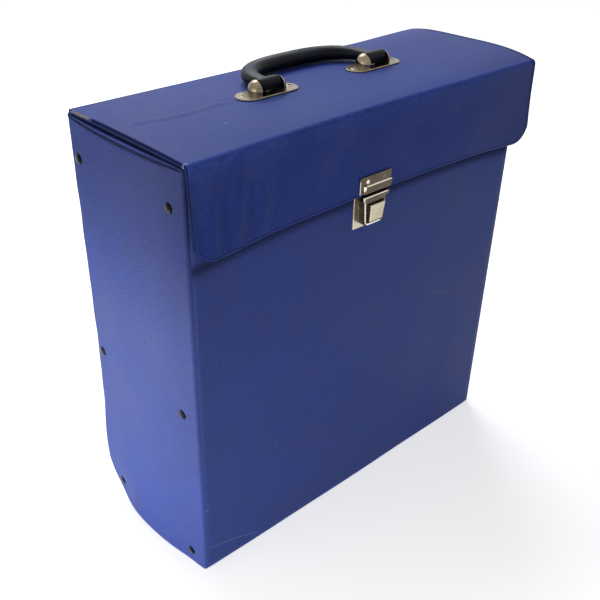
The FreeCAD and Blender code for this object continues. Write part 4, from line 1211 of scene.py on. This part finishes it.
def build_grip():
    """Moulded grip: an arch that swells to its middle and runs into an eye at each end."""
    sizes = settings("hardware")
    half = (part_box("handle_pin_right")[0].x - PIN_LOW.x) / 2
    eye_radius = PIVOT.y - GRIP_LOW.y
    eye_half = PIVOT.x - half - GRIP_LOW.x
    share = sizes.grip_reach / ((LID_HIGH.y - LID_LOW.y) / 2)
    rest = LID_LOW.z + BOARD + settings("cover").crown * (1 - share ** 2)
    droop = math.asin((PIVOT.z - rest - sizes.grip_thickness / 2 - 0.35 * MM) / sizes.grip_reach)
    normal = Vector((0, math.sin(droop), math.cos(droop)))
    bend = 2 / 2.9
    root_width, full_width = 10.2 * MM, 14.4 * MM
    round_steps = [2 * math.pi * k / 36 for k in range(36)]

    def centre(turn):
        across = powered(math.cos(turn), bend) * half
        along = abs(math.sin(turn)) ** bend * sizes.grip_reach
        return PIVOT + Vector((across, along * math.cos(droop), -along * math.sin(droop)))

    rings = []
    for turn in np.linspace(0.0, math.pi, 120):
        tangent = (centre(min(turn + 0.004, math.pi)) - centre(max(turn - 0.004, 0))).normalized()
        side = normal.cross(tangent).normalized()
        fullness = math.sin(turn) ** 0.8
        width = (root_width + (full_width - root_width) * fullness) / 2
        thick = (sizes.grip_root + (sizes.grip_thickness - sizes.grip_root) * fullness) / 2
        rings.append([centre(turn) + side * width * powered(math.cos(angle), 0.9)
                      + normal * thick * powered(math.sin(angle), 0.9) for angle in round_steps])
    shape = bmesh.new()
    skin(shape, rings)
    soft = 1.0 * MM
    ends = ((eye_half, 0.02 * MM), (eye_half, eye_radius - soft),
            (eye_half - soft * 0.3, eye_radius - soft * 0.3), (eye_half - soft, eye_radius))
    eye = [(-reach, radius) for reach, radius in ends] + list(reversed(ends))
    for x in (PIVOT.x - half, PIVOT.x + half):
        skin(shape, [[(x + offset, PIVOT.y + radius * math.cos(angle), PIVOT.z + radius * math.sin(angle))
                      for angle in round_steps] for offset, radius in eye])
    bmesh.ops.recalc_face_normals(shape, faces=shape.faces)
    obj = link_object("carrying_grip", new_mesh("carrying_grip", shape))
    remesh = obj.modifiers.new("one_body", "REMESH")
    remesh.mode = "VOXEL"
    remesh.voxel_size = 0.62 * MM
    relax = obj.modifiers.new("blends", "SMOOTH")
    relax.iterations = 9
    relax.factor = 0.5
    x, y, z = points_of(applied(obj).data).T
    bends = hump(x, PIVOT.x - half - 2 * MM, 22 * MM) * smooth(y, 8 * MM, 26 * MM)
    # Lighter round the near bend, worn by hands, and on the top right of the middle: wear and a painted
    # highlight.
    rubbed = hump(x, PIVOT.x + 16 * MM, 16 * MM) * smooth(z, PIVOT.z - 1 * MM, PIVOT.z + 4 * MM)
    layer = obj.data.attributes.new("wear", "FLOAT", "POINT")
    layer.data.foreach_set("value", np.maximum(bends * 0.75, rubbed * 0.7).astype(np.float32))
    obj.data.shade_smooth()
    paint(obj, moulded_black())
    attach(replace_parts(obj, "handle_grip"), "handle")


# Inside

def lid_lining_shift(x, y, z):
    """From the even crown of the imported lining to the underside of the lid's cover."""
    crown = settings("cover").crown
    return lid_shape(x, y, crown) * lid_hem(x) + lid_warp(x, y) - crown * (1 - across_lid(y) ** 2)


def build_linings():
    """The paper of lid and flap, which follows the covers' shapes."""
    lid = shifted(divided_copy("lid_lining_sheet", "lid_lining", ((0, 70), (1, 26))), 2, lid_lining_shift)
    flap = divided_copy("flap_lining_sheet", "flap_lining", ((0, 90), (2, 14)))
    shifted(flap, 1, lambda x, y, z: -flap_stand_off(x, z))
    for obj, source, body in ((lid, "lid_lining", "lid"), (flap, "flap_lining", "flap")):
        paint(obj, lining())
        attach(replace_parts(obj, source), body)


def build_spring():
    """Leaf spring that is pressed flat between the case and the moving catch."""
    low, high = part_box("lock_spring")
    flat, side_play = 0.1 * MM, 0.06 * MM
    spring = shifted(divided_copy("leaf_spring", "lock_spring", ((0, 6),)), 1,
                     lambda x, y, z: -side_play * (y - low.y) / (high.y - low.y))
    paint(spring, metal("bare_spring_steel"))
    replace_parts(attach(spring, "case"), "lock_spring")
    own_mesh(spring)


def build_inside():
    """Linings of lid and flap, the spring, and the finishes of the pieces that keep their own solids."""
    build_linings()
    build_spring()
    for slot, material, names in (
            ("lining_paper", lining(), ("body_lining", "end_lining_left", "end_lining_right")),
            ("dark_steel", painted_steel(), (
                "front_angle_left", "front_angle_right", "rear_angle_left", "rear_angle_right",
                "lock_backing_plate", "handle_backing_plate_left", "handle_backing_plate_right")),
            ("nickel", metal("nickel_plate"), ("lock_rivets", "lock_tongue")),
            ("spring_steel", metal("bare_spring_steel"),
             ("lock_catch", "handle_pin_left", "handle_pin_right"))):
        for name in names:
            paint(NODES[name], material)


# Stage, seen as in the photograph

CAMERA_PLACE = (-0.4288, -0.4408, 0.52063)
CAMERA_TURN = (57.1523, -0.6894, -42.0876)
CAMERA_SHIFT = (0.0221, 0.0509)


def area_lamp(name, place, target, size, power, colour=(1, 1, 1)):
    lamp = bpy.data.lights.new(name, "AREA")
    lamp.shape = "RECTANGLE"
    lamp.size, lamp.size_y = size
    lamp.energy = power
    lamp.color = colour
    obj = link_object(name, lamp)
    obj.location = place
    obj.rotation_euler = (Vector(target) - Vector(place)).to_track_quat("-Z", "Y").to_euler()


def build_floor(look):
    shape = bmesh.new()
    bmesh.ops.create_grid(shape, x_segments=40, y_segments=40, size=6.0)
    bmesh.ops.translate(shape, verts=shape.verts, vec=(0, 0, -0.2 * MM))
    floor = link_object("floor", new_mesh("floor", shape))
    material, surface, place = new_material("studio_floor")
    tree = place.tree
    feed(surface.made.inputs, {
        "Base Color": mix(noise(place, 3.0, 2.0), shade(look.floor, 0.98), shade(look.floor)),
        "Roughness": 0.85, "Specular IOR Level": 0.1})
    away = vector("LENGTH", place, output="Value")
    # Painted light on the floor: its glow grows with distance and fades towards +X, so it looks even far off
    # and darker on the right.
    gain = ramp(part(place, "X"), 0.2, 1.6) * -0.16 + 0.34
    lift = ramp(away, 0.7, 3.0) * gain + look.lift
    glow = node(tree, "ShaderNodeEmission", {"Color": (1, 1, 1, 1), "Strength": seen_directly(tree) * lift})
    both = node(tree, "ShaderNodeAddShader", {0: surface[0], 1: glow[0]})
    feed(tree.nodes["Material Output"].inputs, {0: both[0]})
    paint(floor, material)


def seen_directly(tree):
    """1 for what the camera sees, also in a mirror or through glass, and 0 for the light that falls."""
    path = node(tree, "ShaderNodeLightPath")
    return folded("MAXIMUM", [path[f"Is {kind} Ray"] for kind in ("Camera", "Glossy", "Transmission")])


def build_world(look):
    world = bpy.data.worlds.new("studio")
    bpy.context.scene.world = world
    world.use_nodes = True
    tree = world.node_tree
    tree.nodes.clear()
    even = node(tree, "ShaderNodeBackground", {"Color": (0.95, 0.97, 1, 1), "Strength": look.fill})
    pale = node(tree, "ShaderNodeBackground", {"Color": (1, 1, 1, 1), "Strength": 1.0})
    mixed = node(tree, "ShaderNodeMixShader", {0: seen_directly(tree), 1: even[0], 2: pale[0]})
    feed(tree.nodes.new("ShaderNodeOutputWorld").inputs, {0: mixed[0]})


def build_camera(look):
    camera = bpy.data.cameras.new("camera")
    camera.lens = look.lens
    camera.sensor_width = 36
    camera.shift_x, camera.shift_y = CAMERA_SHIFT
    camera.clip_start = 0.01
    obj = link_object("camera", camera)
    obj.location = CAMERA_PLACE
    obj.rotation_euler = [math.radians(angle) for angle in CAMERA_TURN]
    bpy.context.scene.camera = obj


def build_stage():
    look = settings("stage")
    build_floor(look)
    build_world(look)
    area_lamp("key_left", (-1.45, 0.0, 0.4), (-0.16, 0, 0.05), (1.2, 0.6), look.key_power)
    area_lamp("low_left", (-0.50, 0.04, 0.04), (-0.17, 0.02, 0.04), (0.5, 0.1), look.side_power)
    area_lamp("low_front", (-0.25, -0.34, 0.05), (-0.08, -0.07, 0.01), (0.5, 0.12), look.front_power,
              (1.0, 0.95, 0.8))
    area_lamp("top_rear", (0.35, 0.95, 1.45), (0, 0, 0.3), (1.2, 1.0), look.top_power, (0.86, 0.93, 1.0))
    build_camera(look)
    bpy.context.scene.view_settings.view_transform = "Standard"


# Operators

def step(idname, label, doc, build):
    """Operator class for one piece or group of like pieces."""
    def execute(self, context):
        build()
        return {"FINISHED"}
    return type("RECORDCASE_OT_" + idname, (bpy.types.Operator,), {
        "bl_idname": "recordcase." + idname, "bl_label": label, "__doc__": doc,
        "bl_options": {"REGISTER", "UNDO"}, "execute": execute})


STEPS = (
    step("end_covers", "End Covers", "Build both sprung, vinyl-covered ends", build_end_covers),
    step("front_cover", "Front Cover", "Build the covered front board", build_front_cover),
    step("back_cover", "Back Cover", "Build the bent back and base board", build_back_cover),
    step("lid_cover", "Lid and Flap", "Build the crowned lid with its flap", build_lid_cover),
    step("hinge_cover", "Hinge Vinyl", "Build the vinyl hinge between back and lid", build_hinge_cover),
    step("end_rivets", "End Rivets", "Set the dark domed rivets of the ends", build_end_rivets),
    step("small_rivets", "Small Rivets", "Set the nickel rivets of brackets and clasp", build_small_rivets),
    step("lock", "Lock", "Build the lock's plates, housing and thumb piece", build_lock),
    step("brackets", "Handle Plates", "Build the plates that hold the handle", build_brackets),
    step("grip", "Grip", "Build the moulded grip", build_grip),
    step("inside", "Inside", "Finish the linings, spring, strips and plates", build_inside),
    step("stage", "Stage", "Build the floor, lamps, background and camera", build_stage),
)


class RECORDCASE_PT_panel(bpy.types.Panel):
    """Lists the steps and settings of the case."""

    bl_label = "Record Case"
    bl_idname = "RECORDCASE_PT_panel"
    bl_space_type = "VIEW_3D"
    bl_region_type = "UI"
    bl_category = "Record Case"

    def draw(self, context):
        layout = self.layout
        for operator in STEPS:
            layout.operator(operator.bl_idname)
        for name in SETTINGS:
            group = getattr(context.scene, name)
            box = layout.box()
            for key in group.__annotations__:
                box.prop(group, key)


SETTINGS = {
    "record_case_cover": CoverSettings,
    "record_case_hardware": HardwareSettings,
    "record_case_finish": FinishSettings,
    "record_case_stage": StageSettings,
}


def register():
    for group in SETTINGS.values():
        bpy.utils.register_class(group)
    for name, group in SETTINGS.items():
        setattr(bpy.types.Scene, name, PointerProperty(type=group))
    for operator in STEPS:
        bpy.utils.register_class(operator)
    bpy.utils.register_class(RECORDCASE_PT_panel)


def unregister():
    bpy.utils.unregister_class(RECORDCASE_PT_panel)
    for operator in reversed(STEPS):
        bpy.utils.unregister_class(operator)
    for name, group in SETTINGS.items():
        delattr(bpy.types.Scene, name)
        bpy.utils.unregister_class(group)


def main():
    register()
    for operator in STEPS:
        getattr(bpy.ops.recordcase, operator.bl_idname.split(".")[1])()


if __name__ == "__main__":
    main()
